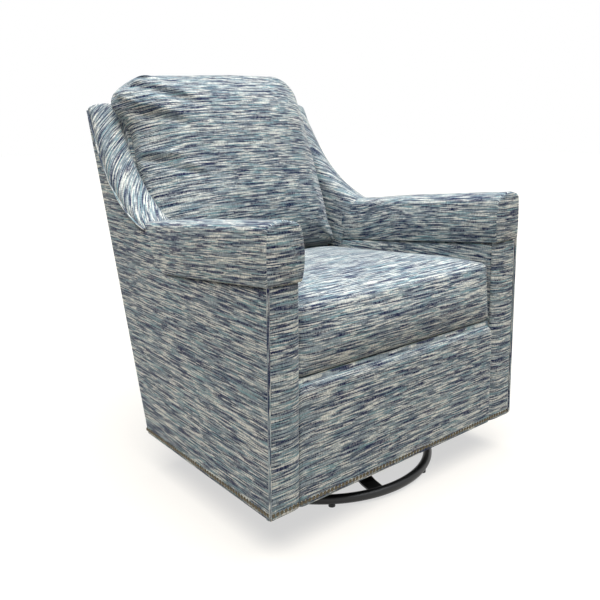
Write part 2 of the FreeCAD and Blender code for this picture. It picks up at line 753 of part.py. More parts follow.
def seat_cushion():
    """Loose box cushion: its band swells a little and its top rises to a crown."""
    rear = seat_at_back(0.0, PAD_LAYER)[0] / math.cos(SEAT_PITCH) - CUSHION_BACK_GAP
    near = CUSHION_FRONT_GAP
    loops = []
    for z, inset in pillow_levels(CUSHION_BAND, CUSHION_CROWN, CUSHION_SPREAD):
        far = rear + z * math.tan(BACK_RAKE - SEAT_PITCH) - inset
        front = inner_half(near) - CUSHION_GAP - inset
        back = inner_half(far) - CUSHION_GAP - inset
        corners = [(-front, near + inset), (front, near + inset), (back, far), (-back, far)]
        loops.append(drawn_loop(corners, [CUSHION_CORNER] * len(corners), z))
    return seat_placed(only(Part.makeLoft(loops, True, True)))


def back_cushion():
    """Loose back cushion: a full front, eased edges, rounded top corners and a sagging foot."""
    low = seat_at_back(CUSHION_BAND, PAD_LAYER)[1] + BACK_CUSHION_LIFT
    foot = V(0, FRONT + back_depth(low, PAD_LAYER) - BACK_CUSHION_GAP, low)
    loops = []
    for z, inset in pillow_levels(BACK_CUSHION_BAND, BACK_CUSHION_CROWN, BACK_CUSHION_SPREAD):
        low = inset - BACK_CUSHION_SAG * min(1.0, z / BACK_CUSHION_BAND)
        high = BACK_CUSHION_LENGTH - inset
        halves = [inner_half(foot.y - FRONT + s * math.sin(BACK_RAKE)) - CUSHION_GAP - inset
                  for s in (low, high)]
        corners = [(-halves[0], low), (halves[0], low), (halves[1], high), (-halves[1], high)]
        radii = [CUSHION_CORNER] * 2 + [BACK_CUSHION_TOP_CORNER] * 2
        loops.append(drawn_loop(corners, radii, z))
    cushion = only(Part.makeLoft(loops, True, True))
    cushion.rotate(V(0, 0, 0), V(1, 0, 0), 90 - math.degrees(BACK_RAKE))
    cushion.translate(foot)
    return cushion


# Nailheads

def nail(place, outward):
    """Domed nailhead whose flat foot lies at a place and faces outward."""
    radius = (NAIL_RADIUS ** 2 + NAIL_DOME ** 2) / (2 * NAIL_DOME)
    low = math.degrees(math.asin((radius - NAIL_DOME) / radius))
    dome = Part.makeSphere(radius, V(0, 0, NAIL_DOME - radius), V(0, 0, 1), low, 90, 360)
    dome.Placement = FreeCAD.Placement(place, FreeCAD.Rotation(V(0, 0, 1), outward))
    return dome


def nail_row(start, end, outward):
    """Evenly spaced nailheads from start to end."""
    way = end.sub(start)
    count = int(way.Length / NAIL_PITCH)
    return [nail(start + way * (index / count), outward) for index in range(count + 1)]


def nailheads():
    """Rows of nailheads along the bottom edge, all round."""
    z = BODY_BOTTOM + NAIL_RISE
    back = back_depth(z)
    left = nail_row(V(side_x(NAIL_END, 0), FRONT + NAIL_END, z),
                    V(side_x(back - NAIL_END, 0), FRONT + back - NAIL_END, z),
                    V(-math.cos(PLAN_TAPER), math.sin(PLAN_TAPER), 0))
    half_front = -side_x(0, 0) - NAIL_END
    half_back = -side_x(back, 0) - NAIL_END
    front = nail_row(V(-half_front, FRONT, z), V(half_front, FRONT, z), V(0, -1, 0))
    rear = nail_row(V(-half_back, FRONT + back, z), V(half_back, FRONT + back, z),
                    V(0, math.cos(BACK_RAKE), -math.sin(BACK_RAKE)))
    return left + [mirrored(head) for head in left] + front + rear


# Ring base and bearing

def ring_shape(inner, outer, foot, height):
    """Flat ring about the turning axis."""
    base = AXIS + V(0, 0, foot)
    return Part.makeCylinder(outer, height, base).cut(Part.makeCylinder(inner, height, base))


def base_ring():
    """Round bar bent into a ring."""
    return Part.makeTorus(RING_RADIUS, RING_TUBE, AXIS + V(0, 0, RING_HEIGHT))


def around(angle, radius, z):
    """Point about the turning axis."""
    return AXIS + V(radius * math.cos(angle), radius * math.sin(angle), z)


def floor_glides(ring):
    """Plastic glides clipped under the ring."""
    return [only(Part.makeCylinder(
        GLIDE_RADIUS, GLIDE_HEIGHT + GLIDE_LAP,
        around(GLIDE_TURN + index * 2 * math.pi / GLIDE_COUNT, RING_RADIUS, 0)).cut(ring))
        for index in range(GLIDE_COUNT)]


def spider_arms(ring):
    """Flat bars from under the hub plate down to the ring, welded to both."""
    high, low = HUB_HEIGHT, RING_HEIGHT + SPIDER_RISE
    upper = [(SPIDER_INNER, high), (HUB_RADIUS, high), (RING_RADIUS - SPIDER_FLAT, low), (RING_RADIUS, low)]
    points = [V(r, -SPIDER_WIDTH / 2, z) for r, z in upper]
    points += [V(r, -SPIDER_WIDTH / 2, z - SPIDER_THICKNESS) for r, z in reversed(upper)]
    bar = Part.Face(Part.makePolygon(points + points[:1])).extrude(V(0, SPIDER_WIDTH, 0))
    bar.translate(AXIS)
    arms = []
    for index in range(SPIDER_COUNT):
        arm = bar.copy()
        arm.rotate(AXIS, V(0, 0, 1), math.degrees(SPIDER_TURN) + index * 360 / SPIDER_COUNT)
        arms.append(only(arm.cut(ring)))
    return arms


def swivel_post():
    """Bolt through the bearing, with its head under the hub plate."""
    top = NUT_FOOT + NUT_HEIGHT + POST_PROUD
    head = Part.makeCylinder(POST_HEAD_RADIUS, POST_HEAD, AXIS + V(0, 0, HUB_HEIGHT - POST_HEAD))
    return only(head.fuse(Part.makeCylinder(POST_RADIUS, top - HUB_HEIGHT, AXIS + V(0, 0, HUB_HEIGHT))))


def hexagon(across_flats, height, place, way):
    """Six-sided prism standing at a place and pointing one way."""
    radius = across_flats / math.sqrt(3)
    points = [V(radius * math.cos(k * math.pi / 3), radius * math.sin(k * math.pi / 3), 0) for k in range(6)]
    prism = Part.Face(Part.makePolygon(points + points[:1])).extrude(V(0, 0, height))
    prism.Placement = FreeCAD.Placement(place, FreeCAD.Rotation(V(0, 0, 1), way))
    return prism


def post_nut():
    """Lock nut that holds the carriage down on the bearing."""
    place = AXIS + V(0, 0, NUT_FOOT)
    return only(hexagon(NUT_ACROSS, NUT_HEIGHT, place, V(0, 0, 1)).cut(
        Part.makeCylinder(POST_RADIUS + POST_FIT, NUT_HEIGHT, place)))


def race(foot):
    """Bearing race with the ball groove in the face towards the balls."""
    groove = Part.makeTorus(BALL_CIRCLE, BALL_RADIUS + GROOVE_CLEARANCE, AXIS + V(0, 0, BALL_HEIGHT))
    return only(ring_shape(RACE_INNER, RACE_OUTER, foot, RACE_HEIGHT).cut(groove))


def bearing_balls():
    """Balls of the turning bearing."""
    return [Part.makeSphere(BALL_RADIUS, around(index * 2 * math.pi / BALL_COUNT, BALL_CIRCLE,
                                                BALL_HEIGHT - GROOVE_CLEARANCE))
            for index in range(BALL_COUNT)]


# Carriage, links and gliding rails; local y runs back from the turning axis

def rod(radius, x_from, x_to, y, z):
    """Round bar across the chair."""
    return Part.makeCylinder(radius, x_to - x_from, AXIS + V(x_from, y, z), V(1, 0, 0))


def carriage_plate():
    """Plate that turns on the bearing."""
    corner = AXIS + V(-CARRIAGE_HALF_WIDTH, -CARRIAGE_HALF_LENGTH, CARRIAGE_FOOT)
    plate = Part.makeBox(2 * CARRIAGE_HALF_WIDTH, 2 * CARRIAGE_HALF_LENGTH, CARRIAGE_PLATE, corner)
    bore = Part.makeCylinder(POST_RADIUS + POST_RUNNING, CARRIAGE_PLATE, AXIS + V(0, 0, CARRIAGE_FOOT))
    return only(plate.cut(bore))


def carriage_bracket():
    """Left upright angle on the carriage plate that carries the upper pivots."""
    top = HIGH_PIVOT + BRACKET_EAR
    outer = -CARRIAGE_HALF_WIDTH
    points = [V(outer, 0, CARRIAGE_TOP), V(outer + BRACKET_FOOT, 0, CARRIAGE_TOP),
              V(outer + BRACKET_FOOT, 0, CARRIAGE_TOP + BRACKET_PLATE),
              V(outer + BRACKET_PLATE, 0, CARRIAGE_TOP + BRACKET_PLATE),
              V(outer + BRACKET_PLATE, 0, top), V(outer, 0, top)]
    angle = Part.Face(Part.makePolygon(points + points[:1])).extrude(V(0, 2 * CARRIAGE_HALF_LENGTH, 0))
    angle.translate(AXIS - V(0, CARRIAGE_HALF_LENGTH, 0))
    for y in (-LINK_HALF_SPACING, LINK_HALF_SPACING):
        angle = angle.cut(rod(PIN_RADIUS + PIN_FIT, outer, outer + BRACKET_PLATE, y, HIGH_PIVOT))
    return only(angle)


def tie_bar():
    """Round bar that ties the two brackets together."""
    half = CARRIAGE_HALF_WIDTH - BRACKET_PLATE
    return rod(TIE_RADIUS, -half, half, 0, HIGH_PIVOT - TIE_DROP)


def upper_pin(y):
    """Headed pin through the left bracket and the top of a link."""
    inner = -(CARRIAGE_HALF_WIDTH - BRACKET_PLATE)
    outer = -(LINK_OUTER + LINK_SIDE_GAP)
    shaft = rod(PIN_RADIUS, outer, inner, y, HIGH_PIVOT)
    heads = [rod(PIN_HEAD_RADIUS, outer - PIN_HEAD, outer, y, HIGH_PIVOT),
             rod(PIN_HEAD_RADIUS, inner, inner + PIN_HEAD, y, HIGH_PIVOT)]
    return only(shaft.multiFuse(heads).removeSplitter())


def pivot_spacer(y):
    """Spacer on an upper pin between the left bracket and the link."""
    ends = -(LINK_INNER - LINK_SIDE_GAP), -CARRIAGE_HALF_WIDTH
    return only(rod(SPACER_RADIUS, *ends, y, HIGH_PIVOT).cut(rod(PIN_RADIUS + PIN_FIT, *ends, y, HIGH_PIVOT)))


def link(y):
    """Left hanging link: a flat bar with round ends and a bushed hole in each."""
    ends = -LINK_OUTER, -LINK_INNER
    bar = Part.makeBox(LINK_PLATE, 2 * LINK_HALF_WIDTH, LINK_LENGTH,
                       AXIS + V(ends[0], y - LINK_HALF_WIDTH, LOW_PIVOT))
    eyes = [rod(LINK_HALF_WIDTH, *ends, y, z) for z in (LOW_PIVOT, HIGH_PIVOT)]
    bar = bar.multiFuse(eyes).removeSplitter()
    for z in (LOW_PIVOT, HIGH_PIVOT):
        bar = bar.cut(rod(BUSH_RADIUS, *ends, y, z))
    return only(bar)


def link_bushes(y):
    """Plastic bushes in both ends of a left and a right link."""
    ends = -LINK_OUTER, -LINK_INNER
    bushes = [only(rod(BUSH_RADIUS - BUSH_FIT, *ends, y, z).cut(rod(PIN_RADIUS + PIN_RUNNING, *ends, y, z)))
              for z in (LOW_PIVOT, HIGH_PIVOT)]
    return bushes + [mirrored(bush) for bush in bushes]


def glide_rail():
    """Left steel angle under the mount boards that carries the lower pivots."""
    front = -FRONT_BOARD_FAR
    rear = back_depth(RAIL_BOTTOM, FRAME_LAYER) - AXIS_DEPTH - RAIL_END_GAP
    inner, outer = -RAIL_INNER, -RAIL_OUTER
    edge = -(RAIL_INNER + RAIL_FLANGE)
    points = [V(inner, front, RAIL_BOTTOM), V(inner, front, RAIL_TOP), V(edge, front, RAIL_TOP),
              V(edge, front, RAIL_TOP - RAIL_STEEL), V(outer, front, RAIL_TOP - RAIL_STEEL),
              V(outer, front, RAIL_BOTTOM)]
    rail = Part.Face(Part.makePolygon(points + points[:1])).extrude(V(0, rear - front, 0))
    rail.translate(AXIS)
    for y in (-LINK_HALF_SPACING, LINK_HALF_SPACING):
        rail = rail.cut(rod(PIN_RADIUS + PIN_FIT, outer, inner, y, LOW_PIVOT))
    for x, y in bolt_places():
        rail = rail.cut(Part.makeCylinder(BOLT_RADIUS + BOLT_FIT, RAIL_STEEL,
                                          AXIS + V(x, y, RAIL_TOP - RAIL_STEEL)))
    return only(rail)


def lower_pin(y):
    """Headed pin through the bottom of a left link, riveted in the gliding rail."""
    inner = -(LINK_INNER - LINK_SIDE_GAP)
    outer = -RAIL_OUTER
    shaft = rod(PIN_RADIUS, outer, inner, y, LOW_PIVOT)
    heads = [rod(PIN_HEAD_RADIUS, outer - PIN_HEAD, outer, y, LOW_PIVOT),
             rod(PIN_HEAD_RADIUS, inner, inner + PIN_HEAD, y, LOW_PIVOT)]
    return only(shaft.multiFuse(heads).removeSplitter())


def bolt_places():
    """Across and back places of the left rail's bolts, one under each mount board."""
    x = -(RAIL_OUTER + RAIL_INNER + RAIL_FLANGE) / 2
    rear = back_depth(RAIL_BOTTOM, FRAME_LAYER) - AXIS_DEPTH - RAIL_END_GAP
    return [(x, -(FRONT_BOARD_NEAR + FRONT_BOARD_FAR) / 2), (x, (REAR_BOARD_NEAR + rear) / 2)]


def rail_bolt(x, y):
    """Hexagon bolt up through the rail into a board."""
    foot = AXIS + V(x, y, RAIL_TOP - RAIL_STEEL)
    head = hexagon(BOLT_ACROSS, BOLT_HEAD, foot - V(0, 0, BOLT_HEAD), V(0, 0, 1))
    return only(head.fuse(Part.makeCylinder(BOLT_RADIUS, RAIL_STEEL + BOLT_DEPTH, foot)))


def bored_boards(boards):
    """Mount boards with a hole for each rail bolt."""
    for x, y in bolt_places():
        for side in (x, -x):
            boards = boards.cut(Part.makeCylinder(BOLT_RADIUS + BOLT_FIT, BOLT_DEPTH,
                                                  AXIS + V(side, y, RAIL_TOP)))
    return boards


def group(solids):
    """Separate solids under one name."""
    return Part.makeCompound(solids)


def twins(make):
    """A left piece for the front and the rear pivot, and their right twins."""
    left = [make(y) for y in (-LINK_HALF_SPACING, LINK_HALF_SPACING)]
    return group(left + [mirrored(piece) for piece in left])


def base_pieces():
    """Everything that stands on the floor."""
    ring = base_ring()
    return {
        "base_ring": ring,
        "floor_glides": group(floor_glides(ring)),
        "spider_arms": group(spider_arms(ring)),
        "hub_plate": ring_shape(POST_RADIUS + POST_FIT, HUB_RADIUS, HUB_HEIGHT, HUB_PLATE),
        "swivel_post": swivel_post(),
        "post_nut": post_nut(),
        "lower_race": race(LOWER_RACE_FOOT),
        "bearing_balls": group(bearing_balls()),
    }


def mechanism_pieces():
    """The turning carriage, the links and the rails that they carry."""
    bolts = [rail_bolt(x, y) for x, y in bolt_places()]
    pieces = {
        "upper_race": race(UPPER_RACE_FOOT),
        "carriage_plate": carriage_plate(),
        "carriage_tie_bar": tie_bar(),
        "upper_pivot_pins": twins(upper_pin),
        "pivot_spacers": twins(pivot_spacer),
        "lower_pivot_pins": twins(lower_pin),
        "rail_bolts": group(bolts + [mirrored(bolt) for bolt in bolts]),
        "mount_boards": bored_boards(mount_boards()),
    }
    sided = {"carriage_bracket": carriage_bracket(), "glide_rail": glide_rail()}
    for place, y in (("front", -LINK_HALF_SPACING), ("rear", LINK_HALF_SPACING)):
        sided[place + "_link"] = link(y)
        pieces[place + "_link_bushes"] = group(link_bushes(y))
    for name, piece in sided.items():
        pieces[name + "_left"] = piece
        pieces[name + "_right"] = mirrored(piece)
    return pieces


def frame_pieces():
    """The wooden frame, the springs and the webbing."""
    springs = [seat_spring(x) for x in spring_places()]
    return {
        "front_posts": pair(front_post()),
        "back_posts": pair(back_post()),
        "side_rails": pair(side_rail()),
        "arm_rails": pair(arm_rail()),
        "arm_boards": pair(arm_board()),
        "front_rail": front_rail(),
        "rear_rail": rear_rail(),
        "back_lower_rail": back_lower_rail(),
        "back_top_rail": back_top_rail(),
        "corner_blocks": corner_blocks(),
        "dust_covers": dust_covers(),
        "seat_springs": group([seat_placed(spring) for spring in springs]),
        "spring_clips": group([seat_placed(clip) for clip in spring_clips(springs)]),
        "back_webbing": group(back_webbing()),
    }


def upholstery_pieces(frame):
    """The padded panels, caps, wings and cushions with their piping and nailheads."""
    welt = front_welt()
    panel = outside_panel()
    covered = [panel, frame["back_posts"], frame["back_top_rail"]]
    sided = {
        "outside_panel": panel,
        "arm_front_pad": arm_front_pad(welt),
        "inside_arm_pad": inside_arm_pad(),
        "arm_cap": arm_cap(arm_board()),
        "wing_pad": wing_pad(covered),
    }
    pieces = {
        "seat_deck": seat_deck(),
        "front_rail_pad": front_rail_pad(),
        "inside_back_pad": inside_back_pad(),
        "outside_back_panel": outside_back_panel(),
        "seat_cushion": seat_cushion(),
        "back_cushion": back_cushion(),
        "front_welts": pair(welt),
        "wing_welts": pair(wing_welt()),
        "nailheads": group(nailheads()),
    }
    for name, piece in sided.items():
        pieces[name + "_left"] = piece
        pieces[name + "_right"] = mirrored(piece)
    return pieces


def main():
    """Write one file for each named piece."""
    os.makedirs("parts", exist_ok=True)
    frame = frame_pieces()
    for pieces in (base_pieces(), mechanism_pieces(), frame, upholstery_pieces(frame)):
        for name, shape in pieces.items():
            if not shape.isValid():
                raise ValueError(name + " is not a valid shape")
            shape.exportStep("parts/%s.step" % name)


main()
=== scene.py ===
"""Swivel glider chair: upholstery, finishes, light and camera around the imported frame.

Lengths are metres in the frame's own axes: the front faces -Y, the left side seen from the front is -X.
A depth is measured back from the front face of the arms, a level inwards from the outer face of a side,
and a layer forwards from the outside of the back.
"""
import math

import bmesh
import bpy
import numpy as np
from bpy.props import FloatProperty, FloatVectorProperty, PointerProperty
from mathutils import Matrix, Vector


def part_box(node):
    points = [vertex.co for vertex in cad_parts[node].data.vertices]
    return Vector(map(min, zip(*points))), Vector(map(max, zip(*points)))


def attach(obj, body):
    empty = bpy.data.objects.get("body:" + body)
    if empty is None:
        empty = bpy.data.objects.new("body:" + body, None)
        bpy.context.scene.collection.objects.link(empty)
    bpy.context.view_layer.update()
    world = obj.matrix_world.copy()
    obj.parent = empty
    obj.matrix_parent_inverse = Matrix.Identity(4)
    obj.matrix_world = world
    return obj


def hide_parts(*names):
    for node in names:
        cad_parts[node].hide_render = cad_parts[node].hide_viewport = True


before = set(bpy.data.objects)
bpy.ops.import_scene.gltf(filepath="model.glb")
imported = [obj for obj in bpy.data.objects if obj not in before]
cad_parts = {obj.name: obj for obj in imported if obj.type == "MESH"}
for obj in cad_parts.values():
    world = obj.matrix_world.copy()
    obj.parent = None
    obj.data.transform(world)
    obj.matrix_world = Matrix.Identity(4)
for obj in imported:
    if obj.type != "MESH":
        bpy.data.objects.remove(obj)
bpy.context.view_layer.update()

bl_info = {
    "name": "Swivel glider chair",
    "version": (1, 0, 0),
    "blender": (4, 5, 0),
    "location": "View3D > Sidebar > Glider",
    "description": "Dresses the packed frame of an upholstered swivel glider chair",
    "category": "Object",
}

BODY = "chair_body"
# Faces in the quarter circle along a pad's edge
ROUND_STEPS = 6
# Where on the bolt the pieces are cut: how far apart, and how far a right-hand piece is from its left twin
BOLT_STEP = 0.137
RIGHT_CUT = (0.37, 0.213)


def linear(code):
    """Linear red, green, blue and alpha of an sRGB hex colour."""
    srgb = np.array([int(code[at:at + 2], 16) for at in (1, 3, 5)]) / 255
    rgb = np.where(srgb <= 0.04045, srgb / 12.92, ((srgb + 0.055) / 1.055) ** 2.4)
    return tuple(float(part) for part in rgb) + (1.0,)


def length(name, description, default):
    """A length that a user may change."""
    return FloatProperty(name=name, description=description, default=default, unit="LENGTH", precision=4)


def angle(name, description, degrees):
    """An angle that a user may change."""
    return FloatProperty(name=name, description=description, default=math.radians(degrees), subtype="ANGLE")


def colour(name, description, code):
    """A colour that a user may change."""
    return FloatVectorProperty(name=name, description=description, default=linear(code), size=4,
                               subtype="COLOR", min=0.0, max=1.0)


class GliderBody(bpy.types.PropertyGroup):
    """Sizes of the upholstered body, as the frame has them."""
    front: length("Front", "Place of the front face of the arms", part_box("front_rail_pad")[0].y)
    width: length("Width", "Width over the outside panels at the front", -2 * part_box("arm_front_pad_left")[0].x)
    bottom: length("Bottom", "Height of the bottom edge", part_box("outside_back_panel")[0].z)
    base_depth: length("Base depth", "Depth of the body at its bottom edge", 0.534)
    taper: angle("Plan taper", "Angle at which each side draws in towards the back", 2.4)
    rake: angle("Back rake", "Angle of the back from upright", 20.3)
    back_top: length("Back top", "Height of the top of the outside back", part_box("outside_back_panel")[1].z)
    arm: length("Arm thickness", "Thickness of an arm below its cap", 0.080)
    arm_seam: length("Arm seam", "Height of the seam under a cap at the front", 0.559)
    arm_slope: angle("Arm slope", "Fall of the caps towards the back", 6.3)
    cap: length("Cap height", "Height of a cap above its seam", 0.121)
    overhang: length("Cap overhang", "How far a cap stands out past its arm", 0.005)
    proud: length("Cap front", "How far a cap stands out past the arm's front", 0.006)
    cap_outer_round: length("Outer round", "Round along the outer top edge of a cap", 0.014)
    cap_inner_round: length("Inner round", "Round along the inner top edge of a cap", 0.026)
    cap_front_round: length("Front round", "Round about the front panel of a cap", 0.009)
    wing_join: length("Wing join", "Depth where a wing leaves its cap", 0.495)
    wing_setback: length("Wing setback", "Distance of a wing's edge before the back at its top", 0.0404)
    wing_start: angle("Wing start", "Slope of a wing where it leaves the cap", 20.0)
    wing_end: angle("Wing end", "Slope of a wing below its tip", 53.0)
    wing_top: length("Wing top", "Height of a wing's tip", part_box("wing_pad_left")[1].z)
    wing_outer: length("Wing outer round", "Width of the round along a wing's outer edge", 0.050)
    wing_round: length("Wing inner round", "Width of the round along a wing's inner edge", 0.027)
    wing_fall: length("Wing fall", "Height of the rounds along a wing's edges", 0.038)
    seam_drop: length("Seam drop", "Distance from a wing's edge down to its seam at the cap", 0.020)
    seam_bow: length("Seam bow", "Distance from a wing's edge to its seam half way up", 0.040)
    seam_end: length("Seam end", "Distance from a wing's edge to its seam at the tip", 0.021)
    panel: length("Panel", "Thickness of an outside panel", 0.012)
    front_pad: length("Front pad", "Thickness of the pads on the front", 0.014)
    rail_top: length("Rail top", "Height of the front panel's top edge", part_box("front_rail_pad")[1].z)
    rail_corner: length("Rail corner", "Round of the front panel's top corners", 0.020)
    pad_layer: length("Inside back", "Layer of the inside back's face", 0.066)
    welt: length("Welt radius", "Radius of the piping", 0.0032)


class GliderCushions(bpy.types.PropertyGroup):
    """Sizes of the loose cushions."""
    seat_front: length("Seat height", "Height of the deck at the front", 0.356)
    seat_pitch: angle("Seat pitch", "Fall of the seat towards the back", 4.0)
    seat_band: length("Seat band", "Height of the seat cushion's band", 0.150)
    seat_crown: length("Seat crown", "Rise of the seat cushion's top above its band", 0.056)
    seat_gap: length("Seat gap", "Gap between the seat cushion and the arms", 0.0006)
    corner: length("Corner", "Round of the seat cushion's upright corners", 0.016)
    back_bottom: length("Back cushion foot", "Height of the back cushion's foot", 0.470)
    back_length: length("Back cushion length", "Length of the back cushion up the back", 0.535)
    back_band: length("Back band", "Thickness of the back cushion's band", 0.050)
    back_crown: length("Back crown", "Fullness of the back cushion's front", 0.066)
    voxel: length("Voxel", "Mesh size of a cushion before it is filled", 0.005)
    swell: length("Swell", "Most that the filling may move the cloth", 0.024)


class GliderColours(bpy.types.PropertyGroup):
    """Colours of the cloth, the metals and the floor."""
    navy: colour("Navy", "Dark streaks of the cloth", "#141d49")
    slate: colour("Slate", "Blue grey ground of the cloth", "#616a73")
    mist: colour("Mist", "Pale grey blue of the cloth", "#a7b0b2")
    aqua: colour("Aqua", "Green blue streaks of the cloth", "#89a5a8")
    cream: colour("Cream", "Light streaks of the cloth", "#e4e1d6")
    black: colour("Black", "Powder coat and moulded nylon", "#0b0b0c")
    zinc: colour("Zinc", "Plated pressed steel", "#b4b5b2")
    steel: colour("Steel", "Turned steel and wire", "#8e8f92")
    bronze: colour("Bronze", "Nailheads", "#4a4334")
    wood: colour("Wood", "Planed hardwood", "#c09a6c")
    floor: colour("Floor", "Floor paint", "#a0978b")


# Shape of the body

def back_depth(b, z, layer=0.0):
    """Depth of a layer of the raked back at a height: the base depth plus the rise times the rake's tangent."""
    return b.base_depth + math.tan(b.rake) * (z - b.bottom) - layer / math.cos(b.rake)


def side_point(b, depth, level, z):
    """Point of the left side: the outer face draws in by the taper, and a level lies square to it."""
    depth, level, z = np.broadcast_arrays(depth, level, z)
    x = -b.width / 2 + depth * math.tan(b.taper) + level / math.cos(b.taper)
    return np.stack([x, b.front + depth, z], axis=-1)


def half_width(b, depth, level=0.0):
    """Half of the width at a depth, between the two faces that lie a level inside the outer faces of the sides."""
    return b.width / 2 - depth * math.tan(b.taper) - level / math.cos(b.taper)


def deck_height(c, depth):
    """Height of the sloping seat deck at a depth."""
    return c.seat_front - math.tan(c.seat_pitch) * depth


def run_along(path):
    """Length along a path from its start to each of its points."""
    return np.concatenate([[0], np.cumsum(np.linalg.norm(np.diff(path, axis=0), axis=1))])


def seam_height(b, depth):
    """Height of the straight seam under a cap, falling with depth."""
    return b.arm_seam - math.tan(b.arm_slope) * depth


def crest_start(b):
    """Depth and height where a wing's edge leaves its cap."""
    return np.array([b.wing_join, seam_height(b, b.wing_join) + b.cap])


def wing_radius(b):
    """Radius of the arc that brings a wing's edge from its cap to its place before the top of the back."""
    start = crest_start(b)
    run = back_depth(b, b.wing_top) - b.wing_setback - start[0]
    rise = b.wing_top - start[1]
    slope = 1 / math.tan(b.wing_end)
    share = math.sin(b.wing_end) - math.sin(b.wing_start) \
        - slope * (math.cos(b.wing_start) - math.cos(b.wing_end))
    return (run - slope * rise) / share


def wing_edge(b):
    """Points, slopes and inner depth of a pad along a wing's edge: an arc up from the cap, a straight run, a tight
    turn over the tip and a short run down the back. The last number counts the points before the turn."""
    arc_points, straight_points, turn_points, down_points = 30, 15, 13, 4
    count = arc_points + straight_points
    tip_layer, down_run = 0.008, 0.05
    tip_reach, deepest = 0.09, 0.16
    radius = wing_radius(b)
    start = crest_start(b)
    centre = start + radius * np.array([-math.sin(b.wing_start), math.cos(b.wing_start)])
    arc = np.linspace(b.wing_start, b.wing_end, arc_points)
    first = centre + radius * np.stack([np.sin(arc), -np.cos(arc)], axis=-1)
    grow = 1 + math.cos(b.rake) * (math.tan(b.rake) + (1 - math.cos(b.wing_end)) / math.sin(b.wing_end))
    tip = (b.wing_setback * math.cos(b.rake) - tip_layer) / grow
    hub_z = b.wing_top - tip
    hub = np.array([back_depth(b, hub_z) - (tip + tip_layer) / math.cos(b.rake), hub_z])
    leave = hub + tip * np.array([-math.sin(b.wing_end), math.cos(b.wing_end)])
    share = np.linspace(0, 1, straight_points + 1)[1:, None]
    straight = first[-1] * (1 - share) + leave * share
    down = -math.pi / 2 - b.rake
    turn = np.linspace(b.wing_end, down, turn_points + 1)[1:]
    over = hub + tip * np.stack([-np.sin(turn), np.cos(turn)], axis=-1)
    share = np.linspace(0, 1, down_points + 1)[1:, None]
    last = over[-1] + down_run * share * np.array([math.cos(down), math.sin(down)])
    points = np.concatenate([first, straight, over, last])
    angles = np.concatenate([arc, np.full(straight_points, b.wing_end), turn, np.full(down_points, down)])
    before = np.arange(len(points)) < count
    gap = back_depth(b, points[:, 1], b.panel) - points[:, 0]
    to_back = gap / np.where(before, np.sin(angles) + math.tan(b.rake) * np.cos(angles), 1.0)
    far = np.where(before, np.clip(np.linalg.norm(points - leave, axis=1) / tip_reach, 0, 1), 0.0)
    deep = tip * (1 - far) + np.minimum(to_back, deepest) * far
    return points, angles, deep, count


def wing_seam(b):
    """Distances of the seam below a wing's edge, a parabola in the share of the way to the tip, and its points."""
    points, angles, _, count = wing_edge(b)
    points, angles = points[:count], angles[:count]
    run = run_along(points)
    w = run / run[-1]
    drop = b.seam_drop + (4 * b.seam_bow - 3 * b.seam_drop - b.seam_end) * w \
        + (2 * b.seam_drop + 2 * b.seam_end - 4 * b.seam_bow) * w * w
    return drop, points + drop[:, None] * np.stack([np.sin(angles), -np.cos(angles)], axis=-1)


# Meshes

def quads(index):
    """Faces between neighbouring rows and columns of a grid of vertex numbers."""
    corners = [index[:-1, :-1], index[1:, :-1], index[1:, 1:], index[:-1, 1:]]
    return np.stack(corners, axis=-1).reshape(-1, 4)


def make_piece(name, points, faces, weave, sharp=55.0):
    """Mesh object from whole arrays; weave is the cloth's own place at each vertex, along its streaks and then
    across them. A third number, the same over the piece, says where on the bolt the piece was cut."""
    mesh = bpy.data.meshes.new(name)
    mesh.from_pydata(points.reshape(-1, 3).tolist(), [], [list(face) for face in faces])
    cut = np.full((len(weave), 1), sum(map(ord, name)) * BOLT_STEP)
    cloth = mesh.attributes.new("weave", "FLOAT_VECTOR", "POINT")
    cloth.data.foreach_set("vector", np.concatenate([weave[:, :2], cut], axis=1).ravel().astype(np.float32))
    work = bmesh.new()
    work.from_mesh(mesh)
    bmesh.ops.remove_doubles(work, verts=work.verts, dist=1e-6)
    bmesh.ops.recalc_face_normals(work, faces=work.faces)
    work.to_mesh(mesh)
    work.free()
    mesh.shade_smooth()
    mesh.set_sharp_from_angle(angle=math.radians(sharp))
    piece = bpy.data.objects.new(name, mesh)
    bpy.context.scene.collection.objects.link(piece)
    return piece


def dress(piece, material, replaced):
    """Give a piece its material, its body and the nodes that it stands for."""
    piece.data.materials.append(material)
    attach(piece, BODY)
    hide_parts(*replaced)
    return piece


def edge_rows(size, first, last, count):
    """Shares along a line, close together in the rounds at both ends, and how far the rounds have risen there.
    Each end has a radius r and the share of the height that is a plain wall; above that wall the edge is a
    quarter circle, r(1 - cos a) in and sin a up."""
    turn = np.linspace(0, math.pi / 2, ROUND_STEPS + 1)
    (r0, wall0), (r1, wall1) = first, last
    head = np.concatenate([[0], r0 * (1 - np.cos(turn))])
    tail = size - np.concatenate([r1 * (1 - np.cos(turn[::-1])), [0]])
    middle = np.linspace(r0, size - r1, count + 2)[1:-1]
    rise = np.concatenate([[0], wall0 + (1 - wall0) * np.sin(turn), np.ones(count),
                           wall1 + (1 - wall1) * np.sin(turn[::-1]), [0]])
    return np.concatenate([head, middle, tail]) / size, rise


